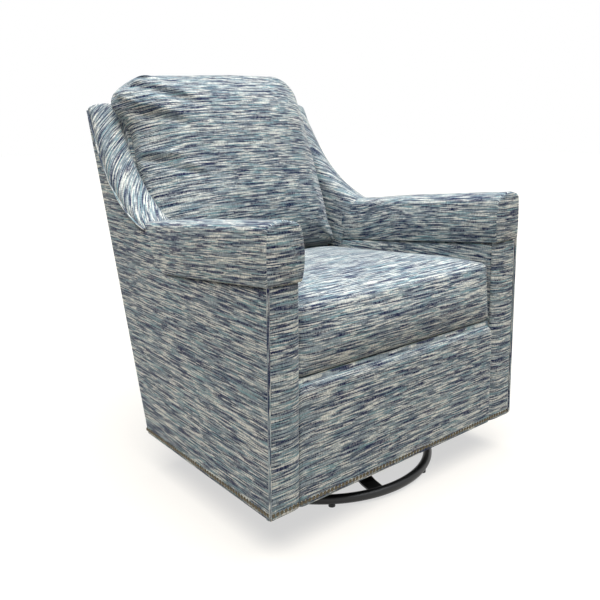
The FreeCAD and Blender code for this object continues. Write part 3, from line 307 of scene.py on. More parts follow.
def padded_panel(place, size, rounds, counts, crown=0.0):
    """Closed pad on a patch: place(s, t, h) gives points and weave for shares s and t along the patch and a
    height h from 0 at the back to 1 at the show face. The show face falls to the back in a quarter circle and
    a wall at each of the four edges, and swells by the product of two parabolas."""
    s_rows, s_rise = edge_rows(size[0], rounds[0], rounds[1], counts[0])
    t_rows, t_rise = edge_rows(size[1], rounds[2], rounds[3], counts[1])
    s, t = np.meshgrid(s_rows, t_rows, indexing="ij")
    rise = np.outer(s_rise, t_rise) * (1 + crown * 16 * s * (1 - s) * t * (1 - t))
    show, show_weave = place(s, t, rise)
    back, back_weave = place(s, t, np.zeros_like(rise))
    front_index = np.arange(s.size).reshape(s.shape)
    back_index = front_index + s.size
    border = np.ones(s.shape, bool)
    border[1:-1, 1:-1] = False
    back_index = np.where(border, front_index, back_index)
    points = np.concatenate([show.reshape(-1, 3), back.reshape(-1, 3)])
    weave = np.concatenate([show_weave.reshape(-1, 2), back_weave.reshape(-1, 2)])
    faces = np.concatenate([quads(front_index), quads(back_index)[:, ::-1]])
    used = np.unique(faces)
    renumber = np.zeros(len(points), int)
    renumber[used] = np.arange(len(used))
    return points[used], renumber[faces], weave[used]


def loft(rings, weave):
    """Closed skin over rings of points, one row each, with a middle point that closes each end."""
    count, around = rings.shape[:2]
    index = np.arange(count * around).reshape(count, around)
    faces = [list(face) for face in quads(np.concatenate([index, index[:, :1]], axis=1))]
    points, cloth = rings.reshape(-1, 3), weave.reshape(-1, 2)
    for row in (0, -1):
        points = np.concatenate([points, rings[row].mean(0)[None]])
        cloth = np.concatenate([cloth, weave[row].mean(0)[None]])
        pole = len(points) - 1
        loop = np.concatenate([index[row], index[row][:1]])
        faces += np.stack([loop[:-1], loop[1:], np.full(around, pole)], axis=-1).tolist()
    return points, faces, cloth


def tube(path, radius, sides=10):
    """Round piping: a circle carried along a path, square to it. The streaks of its cloth run along it."""
    way = np.gradient(path, axis=0)
    way /= np.linalg.norm(way, axis=1, keepdims=True)
    askew = [1.0, 0.3, 0.2]  # no piping runs this way
    side = np.cross(way, askew)
    side /= np.linalg.norm(side, axis=1, keepdims=True)
    up = np.cross(way, side)
    turn = np.linspace(0, 2 * math.pi, sides, endpoint=False)
    circle = np.cos(turn)[None, :, None] * side[:, None] + np.sin(turn)[None, :, None] * up[:, None]
    rings = path[:, None] + radius * circle
    along = run_along(path)[:, None] + 0 * turn
    across = radius * turn + 0 * along
    weave = np.stack([along, across], axis=-1)
    return loft(rings, weave)


def mirrored(shape):
    """The same shape on the right side, with its cloth cut from another place."""
    points, faces, weave = shape
    return points * [-1, 1, 1], faces, weave + RIGHT_CUT


def one_piece(name, shape, material):
    """A cloth piece for the node of its name."""
    dress(make_piece("soft_" + name, *shape), material, [name])


def both_sides(name, shape, material):
    """A left piece and its right twin, each for the node of its name."""
    one_piece(name + "_left", shape, material)
    one_piece(name + "_right", mirrored(shape), material)


# Materials

def node(tree, kind, inputs=None, **settings):
    """Add a node with its settings; each input is a value, or an output socket to link."""
    made = tree.nodes.new(kind)
    for name, value in settings.items():
        setattr(made, name, value)
    for name, value in (inputs or {}).items():
        if isinstance(value, bpy.types.NodeSocket):
            tree.links.new(value, made.inputs[name])
        else:
            made.inputs[name].default_value = value
    return made


def new_material(name):
    """Material with its own tree, its surface shader and nothing else."""
    material = bpy.data.materials.new(name)
    material.use_nodes = True
    tree = material.node_tree
    tree.nodes.clear()
    shader = node(tree, "ShaderNodeBsdfPrincipled")
    node(tree, "ShaderNodeOutputMaterial", {"Surface": shader.outputs["BSDF"]})
    return material, tree, shader


def step(tree, value, low, high):
    """Smooth step of a value from low to high."""
    return node(tree, "ShaderNodeMapRange", {"Value": value, "From Min": low, "From Max": high},
                interpolation_type="SMOOTHSTEP").outputs["Result"]


def mix(tree, share, one, other, blend="MIX"):
    """Mix two colours by a share; the numbers are the colour sockets of the mixing node."""
    return node(tree, "ShaderNodeMix", {0: share, 6: one, 7: other}, data_type="RGBA", blend_type=blend).outputs[2]


def reckon(tree, operation, one, other=0.0):
    """Sum, product or other reckoning with two values."""
    return node(tree, "ShaderNodeMath", {0: one, 1: other}, operation=operation).outputs["Value"]


def sight(tree):
    """One for rays from the camera, off gloss and through glass, which all see the white backdrop, and zero for the
    rays that light the chair."""
    rays = node(tree, "ShaderNodeLightPath").outputs
    onward = reckon(tree, "MAXIMUM", rays["Is Glossy Ray"], rays["Is Transmission Ray"])
    return reckon(tree, "MAXIMUM", rays["Is Camera Ray"], onward)


def woven_upholstery(c):
    """Slubby railroaded weave: each weft row carries its own run of navy, slate, aqua and cream yarn, so the eye
    sees short straight streaks. The warp breaks them up finely, and navy shows as dashes where the warp crosses it.
    The fuzz of the yarn gives a soft sheen. The rows, 1.8 to 2.5 mm, and the warp, 1.7 mm, are drawn coarser than
    real yarn so that they show in the picture."""
    material, tree, shader = new_material("Slub weave upholstery cloth")
    cloth = node(tree, "ShaderNodeAttribute", attribute_name="weave")
    place = node(tree, "ShaderNodeSeparateXYZ", {"Vector": cloth.outputs["Vector"]}).outputs

    def yarn(run, pitch, shift, thin=0.0, detail=1.0):
        """Noise along each row, with the run along it and the pitch of the rows in millimetres and no link from row
        to row. Thin takes that much off at the edges of a row, so that a streak is thickest in its middle and runs
        out to a point."""
        row_jump = 3.73
        along = reckon(tree, "MULTIPLY", place["X"], 1000 / run)
        across = reckon(tree, "MULTIPLY", place["Y"], 1000 / pitch)
        row = reckon(tree, "FLOOR", across)
        spot = node(tree, "ShaderNodeCombineXYZ", {"X": along, "Y": reckon(tree, "MULTIPLY", row, row_jump),
                                                   "Z": reckon(tree, "ADD", place["Z"], shift)})
        noise = node(tree, "ShaderNodeTexNoise", {"Vector": spot.outputs["Vector"], "Scale": 1.0, "Detail": detail,
                                                  "Roughness": 0.5}).outputs["Fac"]
        edge = reckon(tree, "ABSOLUTE", reckon(tree, "SUBTRACT", reckon(tree, "FRACT", across), 0.5))
        return reckon(tree, "SUBTRACT", noise, reckon(tree, "MULTIPLY", edge, thin))

    body = mix(tree, step(tree, yarn(80.0, 1.9, 0.3), 0.34, 0.66), tuple(c.slate), tuple(c.mist))
    body = mix(tree, step(tree, yarn(90.0, 2.4, 7.1, 0.1), 0.52, 0.62), body, tuple(c.aqua))
    light = step(tree, yarn(74.0, 2.4, 13.9, 0.16), 0.53, 0.57)
    body = mix(tree, light, body, tuple(c.cream))
    pale = step(tree, yarn(50.0, 1.8, 19.3, 0.1), 0.57, 0.61)
    body = mix(tree, pale, body, tuple(c.cream))
    dark = step(tree, yarn(64.0, 2.5, 29.7, 0.2), 0.500, 0.528)
    warp = yarn(1.7, 4.2, 41.3, 0.0, 0.0)
    shows = reckon(tree, "MAXIMUM", step(tree, warp, 0.70, 0.40), 0.75)
    dash = reckon(tree, "MULTIPLY", dark, shows)
    body = mix(tree, dash, body, tuple(c.navy))
    shade = node(tree, "ShaderNodeMapRange", {"Value": warp, "From Min": 0.25, "From Max": 0.75,
                                              "To Min": 0.66, "To Max": 1.20}).outputs["Result"]
    body = mix(tree, 1.0, body, shade, "MULTIPLY")
    tree.links.new(body, shader.inputs["Base Color"])
    shader.inputs["Roughness"].default_value = 0.92
    shader.inputs["Specular IOR Level"].default_value = 0.2
    shader.inputs["Sheen Weight"].default_value = 0.3
    shader.inputs["Sheen Roughness"].default_value = 0.35
    slub = reckon(tree, "ADD", reckon(tree, "MULTIPLY", light, 0.4), warp)
    bump = node(tree, "ShaderNodeBump", {"Strength": 0.3, "Distance": 0.001, "Height": slub})
    tree.links.new(bump.outputs["Normal"], shader.inputs["Normal"])
    return material


def speckled(name, tone, metallic, rough, grain, spread=0.12, lift=0.05):
    """Plain finish whose tone and gloss vary over a grain given in millimetres."""
    material, tree, shader = new_material(name)
    place = node(tree, "ShaderNodeTexCoord").outputs["Object"]
    noise = node(tree, "ShaderNodeTexNoise", {"Vector": place, "Scale": 1000 / grain, "Detail": 3.0}).outputs["Fac"]
    pale = tuple(min(1.0, part * (1 + spread) + lift * spread) for part in tone[:3]) + (1.0,)
    tree.links.new(mix(tree, noise, tuple(tone), pale), shader.inputs["Base Color"])
    gloss = node(tree, "ShaderNodeMapRange", {"Value": noise, "To Min": rough - 0.08, "To Max": rough + 0.08})
    tree.links.new(gloss.outputs["Result"], shader.inputs["Roughness"])
    shader.inputs["Metallic"].default_value = metallic
    bump = node(tree, "ShaderNodeBump", {"Strength": 0.08, "Distance": 0.0005, "Height": noise})
    tree.links.new(bump.outputs["Normal"], shader.inputs["Normal"])
    return material


def planed_hardwood(c):
    """Planed hardwood: straight grain lines about 6 mm wide and 80 mm long, on a dry satin surface."""
    material, tree, shader = new_material("Planed hardwood")
    place = node(tree, "ShaderNodeTexCoord").outputs["Object"]
    spot = node(tree, "ShaderNodeMapping", {"Vector": place, "Scale": (12.0, 160.0, 160.0)})
    grain = node(tree, "ShaderNodeTexNoise", {"Vector": spot.outputs["Vector"], "Scale": 1.0, "Detail": 4.0})
    dark = tuple(part * 0.62 for part in c.wood[:3]) + (1.0,)
    tree.links.new(mix(tree, grain.outputs["Fac"], dark, tuple(c.wood)), shader.inputs["Base Color"])
    shader.inputs["Roughness"].default_value = 0.6
    return material


def slot_materials(c):
    """One finish for each of the record's material slots that shows as it is."""
    webbing, dust = linear("#b9b2a4"), linear("#17171a")
    return {
        # Sprayed and baked: even and dark, with a soft gloss and a fine orange peel
        "black_steel": speckled("Black powder coat", c.black, 0.0, 0.36, 0.9, 0.5, 0.02),
        # Pressed and plated: a pale grey metal with cloudy patches
        "zinc_steel": speckled("Zinc plated steel", c.zinc, 1.0, 0.42, 6.0),
        # Turned and left bright: the clearest reflections below the seat
        "bright_steel": speckled("Turned steel", c.steel, 1.0, 0.28, 3.0),
        # Drawn through a die: a dull grey shine
        "spring_steel": speckled("Drawn spring wire", c.steel, 1.0, 0.45, 4.0),
        # Moulded: black, between matt and gloss
        "nylon": speckled("Moulded nylon", c.black, 0.0, 0.5, 1.5, 0.5, 0.03),
        # Domed and darkened: a deep gold that is lighter here and there where it has rubbed
        "nail_bronze": speckled("Antique bronze nailheads", c.bronze, 1.0, 0.16, 4.0, 0.6),
        "frame_wood": planed_hardwood(c),
        # Flat woven rubber and cotton: matt, with a small fleck
        "webbing": speckled("Woven elastic webbing", webbing, 0.0, 0.9, 2.0, 0.3),
        # Bonded fibres: a flat black with a faint fleck
        "dust_cloth": speckled("Black spun dust cloth", dust, 0.0, 0.95, 1.2, 0.8, 0.05),
    }


NODE_SLOTS = {
    "black_steel": ["base_ring", "spider_arms", "hub_plate"],
    "zinc_steel": ["carriage_plate", "carriage_bracket_left", "carriage_bracket_right", "front_link_left",
                   "front_link_right", "rear_link_left", "rear_link_right", "glide_rail_left", "glide_rail_right"],
    "bright_steel": ["swivel_post", "post_nut", "lower_race", "upper_race", "bearing_balls", "carriage_tie_bar",
                     "upper_pivot_pins", "lower_pivot_pins", "pivot_spacers", "rail_bolts"],
    "spring_steel": ["seat_springs"],
    "nylon": ["floor_glides", "front_link_bushes", "rear_link_bushes", "spring_clips"],
    "nail_bronze": ["nailheads"],
    "frame_wood": ["mount_boards", "front_posts", "back_posts", "side_rails", "arm_rails", "arm_boards",
                   "front_rail", "rear_rail", "back_lower_rail", "back_top_rail", "corner_blocks"],
}


def cloth_of(context):
    """The one upholstery cloth, made when it is first asked for."""
    return bpy.data.materials.get("Slub weave upholstery cloth") or woven_upholstery(context.scene.glider_colours)


class GliderStep(bpy.types.Operator):
    """A step that dresses part of the chair."""
    bl_idname = "glider.step"
    bl_label = "Glider step"
    bl_options = {"INTERNAL"}

    def execute(self, context):
        self.build(context, context.scene.glider_body, context.scene.glider_cushions)
        return {"FINISHED"}

    def build(self, context, b, c):
        raise NotImplementedError("each step builds its own pieces")


class GliderStage(GliderStep):
    """Pale floor, soft studio light and the camera"""
    bl_idname = "glider.stage"
    bl_label = "Stage"

    def build(self, context, b, c):
        scene = context.scene
        scene.view_settings.view_transform = "Standard"
        self.add_floor(scene.glider_colours)
        self.add_world(scene)
        self.add_lamps(scene)
        self.add_camera(scene, b)

    def add_floor(self, colours):
        """Wide flat floor, pale in its own colour and lifted to white where it is seen, so that only the shadow
        shows against the backdrop."""
        half, lift = 12.0, 0.62
        corners = np.array([[-half, -half, 0], [half, -half, 0], [half, half, 0], [-half, half, 0]])
        floor = make_piece("floor", corners, [[0, 1, 2, 3]], corners)
        material, tree, shader = new_material("Pale floor paint")
        shader.inputs["Base Color"].default_value = tuple(colours.floor)
        shader.inputs["Roughness"].default_value = 0.95
        shader.inputs["Specular IOR Level"].default_value = 0.0
        shader.inputs["Emission Color"].default_value = (1.0, 1.0, 1.0, 1.0)
        tree.links.new(reckon(tree, "MULTIPLY", sight(tree), lift), shader.inputs["Emission Strength"])
        floor.data.materials.append(material)

    def add_world(self, scene):
        """White where the backdrop is seen, and for the light a soft dome, cooler and brighter above than below."""
        world = bpy.data.worlds.new("Soft studio")
        scene.world = world
        world.use_nodes = True
        tree = world.node_tree
        tree.nodes.clear()
        way = node(tree, "ShaderNodeTexCoord").outputs["Generated"]
        height = node(tree, "ShaderNodeSeparateXYZ", {"Vector": way}).outputs["Z"]
        sky = mix(tree, step(tree, height, 0.0, 0.9), linear("#8f877d"), linear("#bdd0e2"))
        dome = node(tree, "ShaderNodeBackground", {"Color": sky, "Strength": 0.38})
        white = node(tree, "ShaderNodeBackground", {"Color": (1.0, 1.0, 1.0, 1.0), "Strength": 1.0})
        both = node(tree, "ShaderNodeMixShader", {0: sight(tree), 1: dome.outputs["Background"],
                                                  2: white.outputs["Background"]})
        node(tree, "ShaderNodeOutputWorld", {"Surface": both.outputs["Shader"]})

    def add_lamps(self, scene):
        """One wide soft light from overhead, a little to the front and left."""
        lamp = bpy.data.lights.new("overhead", "SUN")
        lamp.energy = 5.4
        lamp.angle = math.radians(70)
        lamp.color = linear("#f1f7fc")[:3]
        holder = bpy.data.objects.new("overhead", lamp)
        holder.rotation_euler = (math.radians(6), math.radians(-4), 0.0)
        scene.collection.objects.link(holder)

    def add_camera(self, scene, b):
        """Camera found from the straight edges of the chair: a 45 mm lens, about level with the tips of the wings."""
        yaw, pitch, roll = (math.radians(turn) for turn in (42.22, 9.34, 0.14))
        away = np.array([math.sin(yaw) * math.cos(pitch), math.cos(yaw) * math.cos(pitch), -math.sin(pitch)])
        right = np.array([math.cos(yaw), -math.sin(yaw), 0.0])
        up = np.cross(right, away)
        right, up = (right * math.cos(roll) + up * math.sin(roll), up * math.cos(roll) - right * math.sin(roll))
        place = np.array([-1.2309, b.front - 1.0879, 0.8945])
        data = bpy.data.cameras.new("camera")
        data.sensor_width = 36.0
        data.lens = 45.03
        data.shift_x = -0.05
        data.shift_y = -0.1167
        camera = bpy.data.objects.new("camera", data)
        camera.matrix_world = Matrix(np.block([
            [np.stack([right, up, -away], axis=1), place[:, None]],
            [np.array([[0.0, 0.0, 0.0, 1.0]])]]).tolist())
        scene.collection.objects.link(camera)
        scene.camera = camera


class GliderFinishes(GliderStep):
    """Finishes of the steel, wood, wire and nailheads"""
    bl_idname = "glider.finishes"
    bl_label = "Frame finishes"

    def build(self, context, b, c):
        finishes = slot_materials(context.scene.glider_colours)
        for slot, names in NODE_SLOTS.items():
            for name in names:
                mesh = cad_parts[name].data
                mesh.materials.clear()
                mesh.materials.append(finishes[slot])


class GliderSides(GliderStep):
    """Padded outside panels"""
    bl_idname = "glider.sides"
    bl_label = "Outside panels"

    def build(self, context, b, c):
        short, tuck, cap_run = 0.003, 0.012, 0.40
        near, far = b.front_pad * 0.2, b.base_depth - short
        lows = np.linspace(0.0, cap_run, 20)
        seam = wing_seam(b)[1]
        tip = seam[-1, 1] - tuck
        edge = np.concatenate([np.stack([lows, seam_height(b, lows)], axis=-1), seam,
                               [[back_depth(b, tip, short), tip]]])
        run = run_along(edge)
        run /= run[-1]

        def place(s, t, h):
            """Straight lines from the bottom edge up to the cap seam and the wing seam."""
            low = near + s * (far - near)
            depth = low * (1 - t) + np.interp(s, run, edge[:, 0]) * t
            z = b.bottom * (1 - t) + np.interp(s, run, edge[:, 1]) * t
            level = b.panel * (1 - h)
            return side_point(b, depth, level, z), np.stack([depth, z], axis=-1)

        rounds = ((0.005, 0.3), (0.007, 0.3), (0.004, 0.5), (0.007, 0.2))
        shape = padded_panel(place, (0.60, 0.50), rounds, (60, 40), 0.10)
        both_sides("outside_panel", shape, cloth_of(context))


class GliderArmFronts(GliderStep):
    """Padded fronts of the arms"""
    bl_idname = "glider.arm_fronts"
    bl_label = "Arm fronts"

    def build(self, context, b, c):
        top = seam_height(b, 0.0)

        def place(s, t, h):
            """Flat upright pad from the piping in to the seat."""
            level, z = s * b.arm, b.bottom + t * (top - b.bottom)
            depth = b.front_pad * (1 - h)
            return side_point(b, depth, level, z), np.stack([level, z], axis=-1)

        rounds = ((0.006, 0.3), (0.030, 0.35), (0.004, 0.5), (0.003, 0.2))
        shape = padded_panel(place, (b.arm, top - b.bottom), rounds, (10, 60), 0.30)
        both_sides("arm_front_pad", shape, cloth_of(context))


class GliderInsideArms(GliderStep):
    """Padded inner sides of the arms"""
    bl_idname = "glider.inside_arms"
    bl_label = "Inside arms"

    def build(self, context, b, c):
        far, below, thick = 0.60, 0.015, 0.033

        def place(s, t, h):
            """Upright pad from below the deck to the cap seam."""
            depth = b.front_pad + s * (far - b.front_pad)
            low = deck_height(c, depth) - below
            z = low * (1 - t) + seam_height(b, depth) * t
            level = b.arm - thick * (1 - h)
            return side_point(b, depth, level, z), np.stack([depth, z], axis=-1)

        rounds = ((0.004, 0.2), (0.004, 0.2), (0.004, 0.2), (0.006, 0.2))
        both_sides("inside_arm_pad", padded_panel(place, (far, 0.2), rounds, (40, 16)), cloth_of(context))


class GliderCaps(GliderStep):
    """Arm caps"""
    bl_idname = "glider.caps"
    bl_label = "Arm caps"

    def build(self, context, b, c):
        both_sides("arm_cap", self.cap(b), cloth_of(context))

    def section(self, b):
        """Loop round a cap as shares of its width and height plus offsets from the corner: four rounds with the
        straight runs between them, beginning half way along its underside."""
        corner, straight = 9, 8
        turn = np.linspace(0, math.pi / 2, corner)
        foot, out, inn = 0.004, b.cap_outer_round, b.cap_inner_round
        arcs = [(0, 0, foot, foot, np.pi + turn), (1, 0, -foot, foot, 1.5 * np.pi + turn),
                (1, 1, -inn, -inn, turn), (0, 1, out, -out, 0.5 * np.pi + turn)]
        rows = [np.stack([np.full(corner, sx), np.full(corner, sz), ox + r * np.cos(way), oz + r * np.sin(way)], -1)
                for (sx, sz, ox, oz, way), r in zip(arcs, (foot, foot, inn, out))]
        swells = (0.0, 0.006, 0.005, 0.002)  # of the underside, the inner side, the top and the outer side
        share = np.linspace(0, 1, straight + 2)[1:-1, None]
        loop, puff = [], []
        for row, after, swell in zip(rows, rows[1:] + rows[:1], swells):
            loop += [row, row[-1] * (1 - share) + after[0] * share]
            puff += [np.zeros(corner), 4 * (share * (1 - share))[:, 0] * swell]
        way = np.repeat([[0, -1], [1, 0], [0, 1], [-1, 0]], corner + straight, axis=0)
        start = -(corner + straight // 2)
        return (np.roll(np.concatenate(loop), start, axis=0),
                np.roll(np.concatenate(puff)[:, None] * way, start, axis=0))

    def cap(self, b):
        """The section carried back along the seam, drawn in to a rounded front panel, with a sewn groove round
        that panel, and sinking into the side and the wing at its rear end."""
        loop, puff = self.section(b)
        r = b.cap_front_round
        face_rings, back_rings, groove, bow = 8, 59, 0.0018, 0.004
        past_join, sink_from, under = 0.045, 0.30, 0.002
        # The ring at 60 degrees is doubled, so that the cloth changes there, in the groove
        doubled = 5
        turn = np.insert(np.linspace(0, math.pi / 2, 7), doubled, math.pi / 3 + 0.003)
        sewn = face_rings + doubled
        face = np.linspace(0.02, 1, face_rings + 1)[:-1]
        depth = np.concatenate([np.full(face_rings, -b.proud), -b.proud + r * (1 - np.cos(turn)),
                                np.linspace(-b.proud + r, b.wing_join + past_join, back_rings + 1)[1:]])
        depth[:face_rings] -= bow * (1 - face ** 2)
        inset = np.concatenate([np.full(face_rings, r), r * (1 - np.sin(turn)), np.zeros(back_rings)])
        inset[sewn - 1:sewn + 1] += groove
        scale = np.concatenate([face, np.ones(len(turn) + back_rings)])
        sink = np.clip((depth - sink_from) / (b.wing_join - sink_from), 0, 1)
        sink = sink * sink * (3 - 2 * sink)
        left = -b.overhang + (b.overhang + under) * sink
        right = b.arm + b.overhang * (1 - sink) - under * sink
        level = left[:, None] + (right - left)[:, None] * loop[:, 0] + loop[:, 2] + puff[:, 0]
        height = b.cap * loop[:, 1] + loop[:, 3] + puff[:, 1] * (1 - sink[:, None])
        stride = np.hypot(np.diff(level, axis=1), np.diff(height, axis=1))
        rolled = np.concatenate([np.zeros((len(depth), 1)), np.cumsum(stride, axis=1)], axis=1)
        middle, half = (left + right)[:, None] / 2, (right - left)[:, None] / 2
        level = middle + (level - middle) * (scale[:, None] * (1 - inset[:, None] / half))
        rise = b.cap / 2
        height = rise + (height - rise) * (scale[:, None] * (1 - inset[:, None] / rise))
        back = np.broadcast_to(depth[:, None], level.shape)
        z = height + seam_height(b, back)
        front = np.broadcast_to((np.arange(len(depth)) < sewn)[:, None], level.shape)
        weave = np.where(front[..., None], np.stack([level, z], -1), np.stack([back, rolled[:, -1:] - rolled], -1))
        return loft(side_point(b, back, level, z), weave)


class GliderWings(GliderStep):
    """Wings"""
    bl_idname = "glider.wings"
    bl_label = "Wings"

    def build(self, context, b, c):
        both_sides("wing_pad", self.wing(b), cloth_of(context))

    def wing(self, b):
        """Rounded band carried along the wing's edge: up the outer face from the seam, over a round edge and down
        the inner face; the cloth lies as if rolled over the edge from the inner face."""
        points, angles, deep, count = wing_edge(b)
        out = np.stack([-np.sin(angles), np.cos(angles)], axis=-1)
        drop = np.concatenate([wing_seam(b)[0], deep[count:]])
        drop = np.minimum(drop, deep)
        wide, far, lap = b.arm, b.wing_outer, b.wing_round
        outer = np.minimum(b.wing_fall, drop * 0.9)[:, None]
        inner = np.minimum(b.wing_fall, deep * 0.9)[:, None]
        drop, deep = drop[:, None], deep[:, None]
        one = np.ones_like(drop)
        turns, runs, tuck, swell = 10, 8, 0.008, 0.004
        turn = np.linspace(0, math.pi / 2, turns)[None]
        run = np.linspace(0, 1, runs)[None]
        level = np.concatenate([tuck * (1 - run) ** 3 * one, far * (1 - np.cos(turn)) * one,
                                (far + (wide - far - lap) * run) * one,
                                (wide - lap * (1 - np.sin(turn))) * one,
                                (wide + swell * 4 * run * (1 - run)) * one, wide * (1 - run) * one], axis=1)
        rise = np.concatenate([-drop + (drop - outer) * run, -outer * (1 - np.sin(turn)),
                               0 * run * one, -inner * (1 - np.cos(turn)),
                               -inner + (inner - deep) * run, -deep + (deep - drop) * run], axis=1)
        spot = points[:, None] + rise[..., None] * out[:, None]
        skin = side_point(b, spot[..., 0], level, spot[..., 1])
        step_size = np.hypot(np.diff(level, axis=1), np.diff(rise, axis=1))
        rolled = np.concatenate([np.zeros_like(drop), np.cumsum(step_size, axis=1)], axis=1)
        inner_foot = 3 * runs + 2 * turns - 1
        flat = rolled[:, inner_foot:inner_foot + 1] - rolled - deep
        place = points[:, None] + flat[..., None] * out[:, None]
        tilt = math.radians(6.0)
        weave = np.stack([place[..., 0] * math.cos(tilt) + place[..., 1] * math.sin(tilt),
                          place[..., 1] * math.cos(tilt) - place[..., 0] * math.sin(tilt)], axis=-1)
        return loft(skin, weave)


class GliderFrontRail(GliderStep):
    """Padded panel below the seat cushion"""
    bl_idname = "glider.front_rail"
    bl_label = "Front panel"

    def build(self, context, b, c):
        half = half_width(b, 0.0, b.arm)
        tall = b.rail_top - b.bottom

        def place(s, t, h):
            """Flat upright pad with rounded top corners."""
            x = (2 * s - 1) * half
            near = np.clip(b.rail_corner - (half - np.abs(x)), 0, b.rail_corner)
            top = tall - b.rail_corner + np.sqrt(b.rail_corner ** 2 - near ** 2)
            z = b.bottom + t * top
            depth = b.front_pad * (1 - h)
            return np.stack([x, b.front + depth, z], -1), np.stack([x, z + depth], -1)

        rounds = ((0.012, 0.4), (0.012, 0.4), (0.004, 0.5), (0.016, 0.0))
        shape = padded_panel(place, (2 * half, tall), rounds, (60, 30), 0.15)
        one_piece("front_rail_pad", shape, cloth_of(context))


class GliderBack(GliderStep):
    """Outside back, inside back and seat deck"""
    bl_idname = "glider.back"
    bl_label = "Back and deck"

    def build(self, context, b, c):
        self.outside(context, b)
        self.inside(context, b)
        self.deck(context, b, c)

    def outside(self, context, b):
        """The panel that closes the back."""
        inset = 0.009

        def place(s, t, h):
            """Raked pad over the whole width; its sides draw in with the taper of the plan."""
            z = b.bottom + t * (b.back_top - b.bottom)
            layer = b.panel * (1 - h)
            depth = back_depth(b, z, layer)
            x = (2 * s - 1) * (half_width(b, depth) - inset)
            return np.stack([x, b.front + depth, z], -1), np.stack([x, z], -1)

        rounds = ((0.010, 0.2), (0.010, 0.2), (0.004, 0.5), (0.012, 0.0))
        shape = padded_panel(place, (0.75, 0.86), rounds, (50, 60), 0.15)
        one_piece("outside_back_panel", shape, cloth_of(context))

    def inside(self, context, b):
        """The pad behind the back cushion."""
        low, lap = 0.33, 0.006

        def place(s, t, h):
            """Raked pad between the wings that turns over the top of the back."""
            z = low + t * (b.back_top - low)
            layer = b.panel + (b.pad_layer - b.panel) * h
            depth = back_depth(b, z, layer)
            x = (2 * s - 1) * (half_width(b, depth, b.arm) + lap)
            return np.stack([x, b.front + depth, z], -1), np.stack([x, z - layer], -1)

        rounds = ((0.002, 0.5), (0.002, 0.5), (0.002, 0.5), (0.045, 0.0))
        one_piece("inside_back_pad", padded_panel(place, (0.58, 0.58), rounds, (40, 40)), cloth_of(context))

    def deck(self, context, b, c):
        """The pad under the seat cushion."""
        far, thick = 0.575, 0.018

        def place(s, t, h):
            """Flat sloping pad between the arms."""
            depth = b.front_pad + t * (far - b.front_pad)
            x = (2 * s - 1) * half_width(b, depth, b.arm)
            z = deck_height(c, depth) - thick * (1 - h)
            return np.stack([x, b.front + depth, z], -1), np.stack([x, depth], -1)

        rounds = ((0.003, 0.2), (0.003, 0.2), (0.005, 0.2), (0.003, 0.2))
        one_piece("seat_deck", padded_panel(place, (0.62, 0.56), rounds, (30, 30)), cloth_of(context))


class GliderDustCovers(GliderStep):
    """Dust covers stretched below the frame"""
    bl_idname = "glider.dust_covers"
    bl_label = "Dust covers"

    def build(self, context, b, c):
        opening_near, opening_far = 0.1670, 0.4370
        for name, near, far, rail in (("front", b.front_pad, opening_near, "front_rail"),
                                      ("rear", opening_far, b.base_depth - b.panel, "rear_rail")):
            self.cover(b, name, near, far, rail)

    def cover(self, b, name, near, far, rail):
        """One cover between two depths, tacked to a rail and to the side rails. The rail it is given is not used."""
        hang, thick, sag = 0.0015, 0.0008, 0.003

        def half(depth):
            """Half of the width between the outside panels."""
            return half_width(b, depth, b.panel)

        def place(s, t, h):
            """Thin sheet below the rails that sags by the product of two parabolas."""
            depth = near + t * (far - near)
            x = (2 * s - 1) * half(depth)
            z = b.bottom + hang - thick * h - sag * 16 * s * (1 - s) * t * (1 - t)
            return np.stack([x, b.front + depth, z], -1), np.stack([x, depth], -1)

        long = far - near
        shape = padded_panel(place, (2 * half(near), long), ((0.0005, 0.3),) * 4, (40, 12))
        piece = dress(make_piece("soft_dust_cover_" + name, *shape), bpy.data.materials["Black spun dust cloth"],
                      ["dust_covers"])


class GliderWebbing(GliderStep):
    """Upright webbing of the back"""
    bl_idname = "glider.webbing"
    bl_label = "Back webbing"

    def build(self, context, b, c):
        low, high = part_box("back_webbing")[0].z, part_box("back_webbing")[1].z
        wide, long = 0.030, (high - low) / math.cos(b.rake)
        layer, thick = 0.042, 0.002
        middles = (-0.150, -0.050, 0.050, 0.150)
        for count, middle in enumerate(middles, 1):
            def place(s, t, h):
                """Flat strap along the rake of the back."""
                x = middle + (s - 0.5) * wide
                z = low + t * (high - low)
                depth = back_depth(b, z, layer + thick * h)
                return np.stack([x, b.front + depth, z], -1), np.stack([x, z], -1)

            shape = padded_panel(place, (wide, long), ((0.0008, 0.3),) * 4, (4, 40))
            piece = dress(make_piece("soft_back_strap_%d" % count, *shape),
                          bpy.data.materials["Woven elastic webbing"], ["back_webbing"])


class GliderPiping(GliderStep):
    """Piping of the arm fronts and the wings"""
    bl_idname = "glider.piping"
    bl_label = "Piping"

    def build(self, context, b, c):
        r, lap, proud = b.welt, 0.002, 0.0006
        tuck_in, tuck_run = 0.006, 0.010
        z = np.linspace(b.bottom + lap, seam_height(b, 0.0) + lap, 160)
        tuck = tuck_in * np.clip(1 - (z - z[0]) / tuck_run, 0, 1) ** 2 - proud
        front = tube(side_point(b, tuck, tuck, z), r)
        path = wing_seam(b)[1]
        seam = tube(side_point(b, path[:, 0], -r * 0.3, path[:, 1]), r)
        for name, shape in (("front_welts", front), ("wing_welts", seam)):
            for side, made in (("left", shape), ("right", mirrored(shape))):
                dress(make_piece("soft_%s_%s" % (name, side), *made), cloth_of(context), [name])


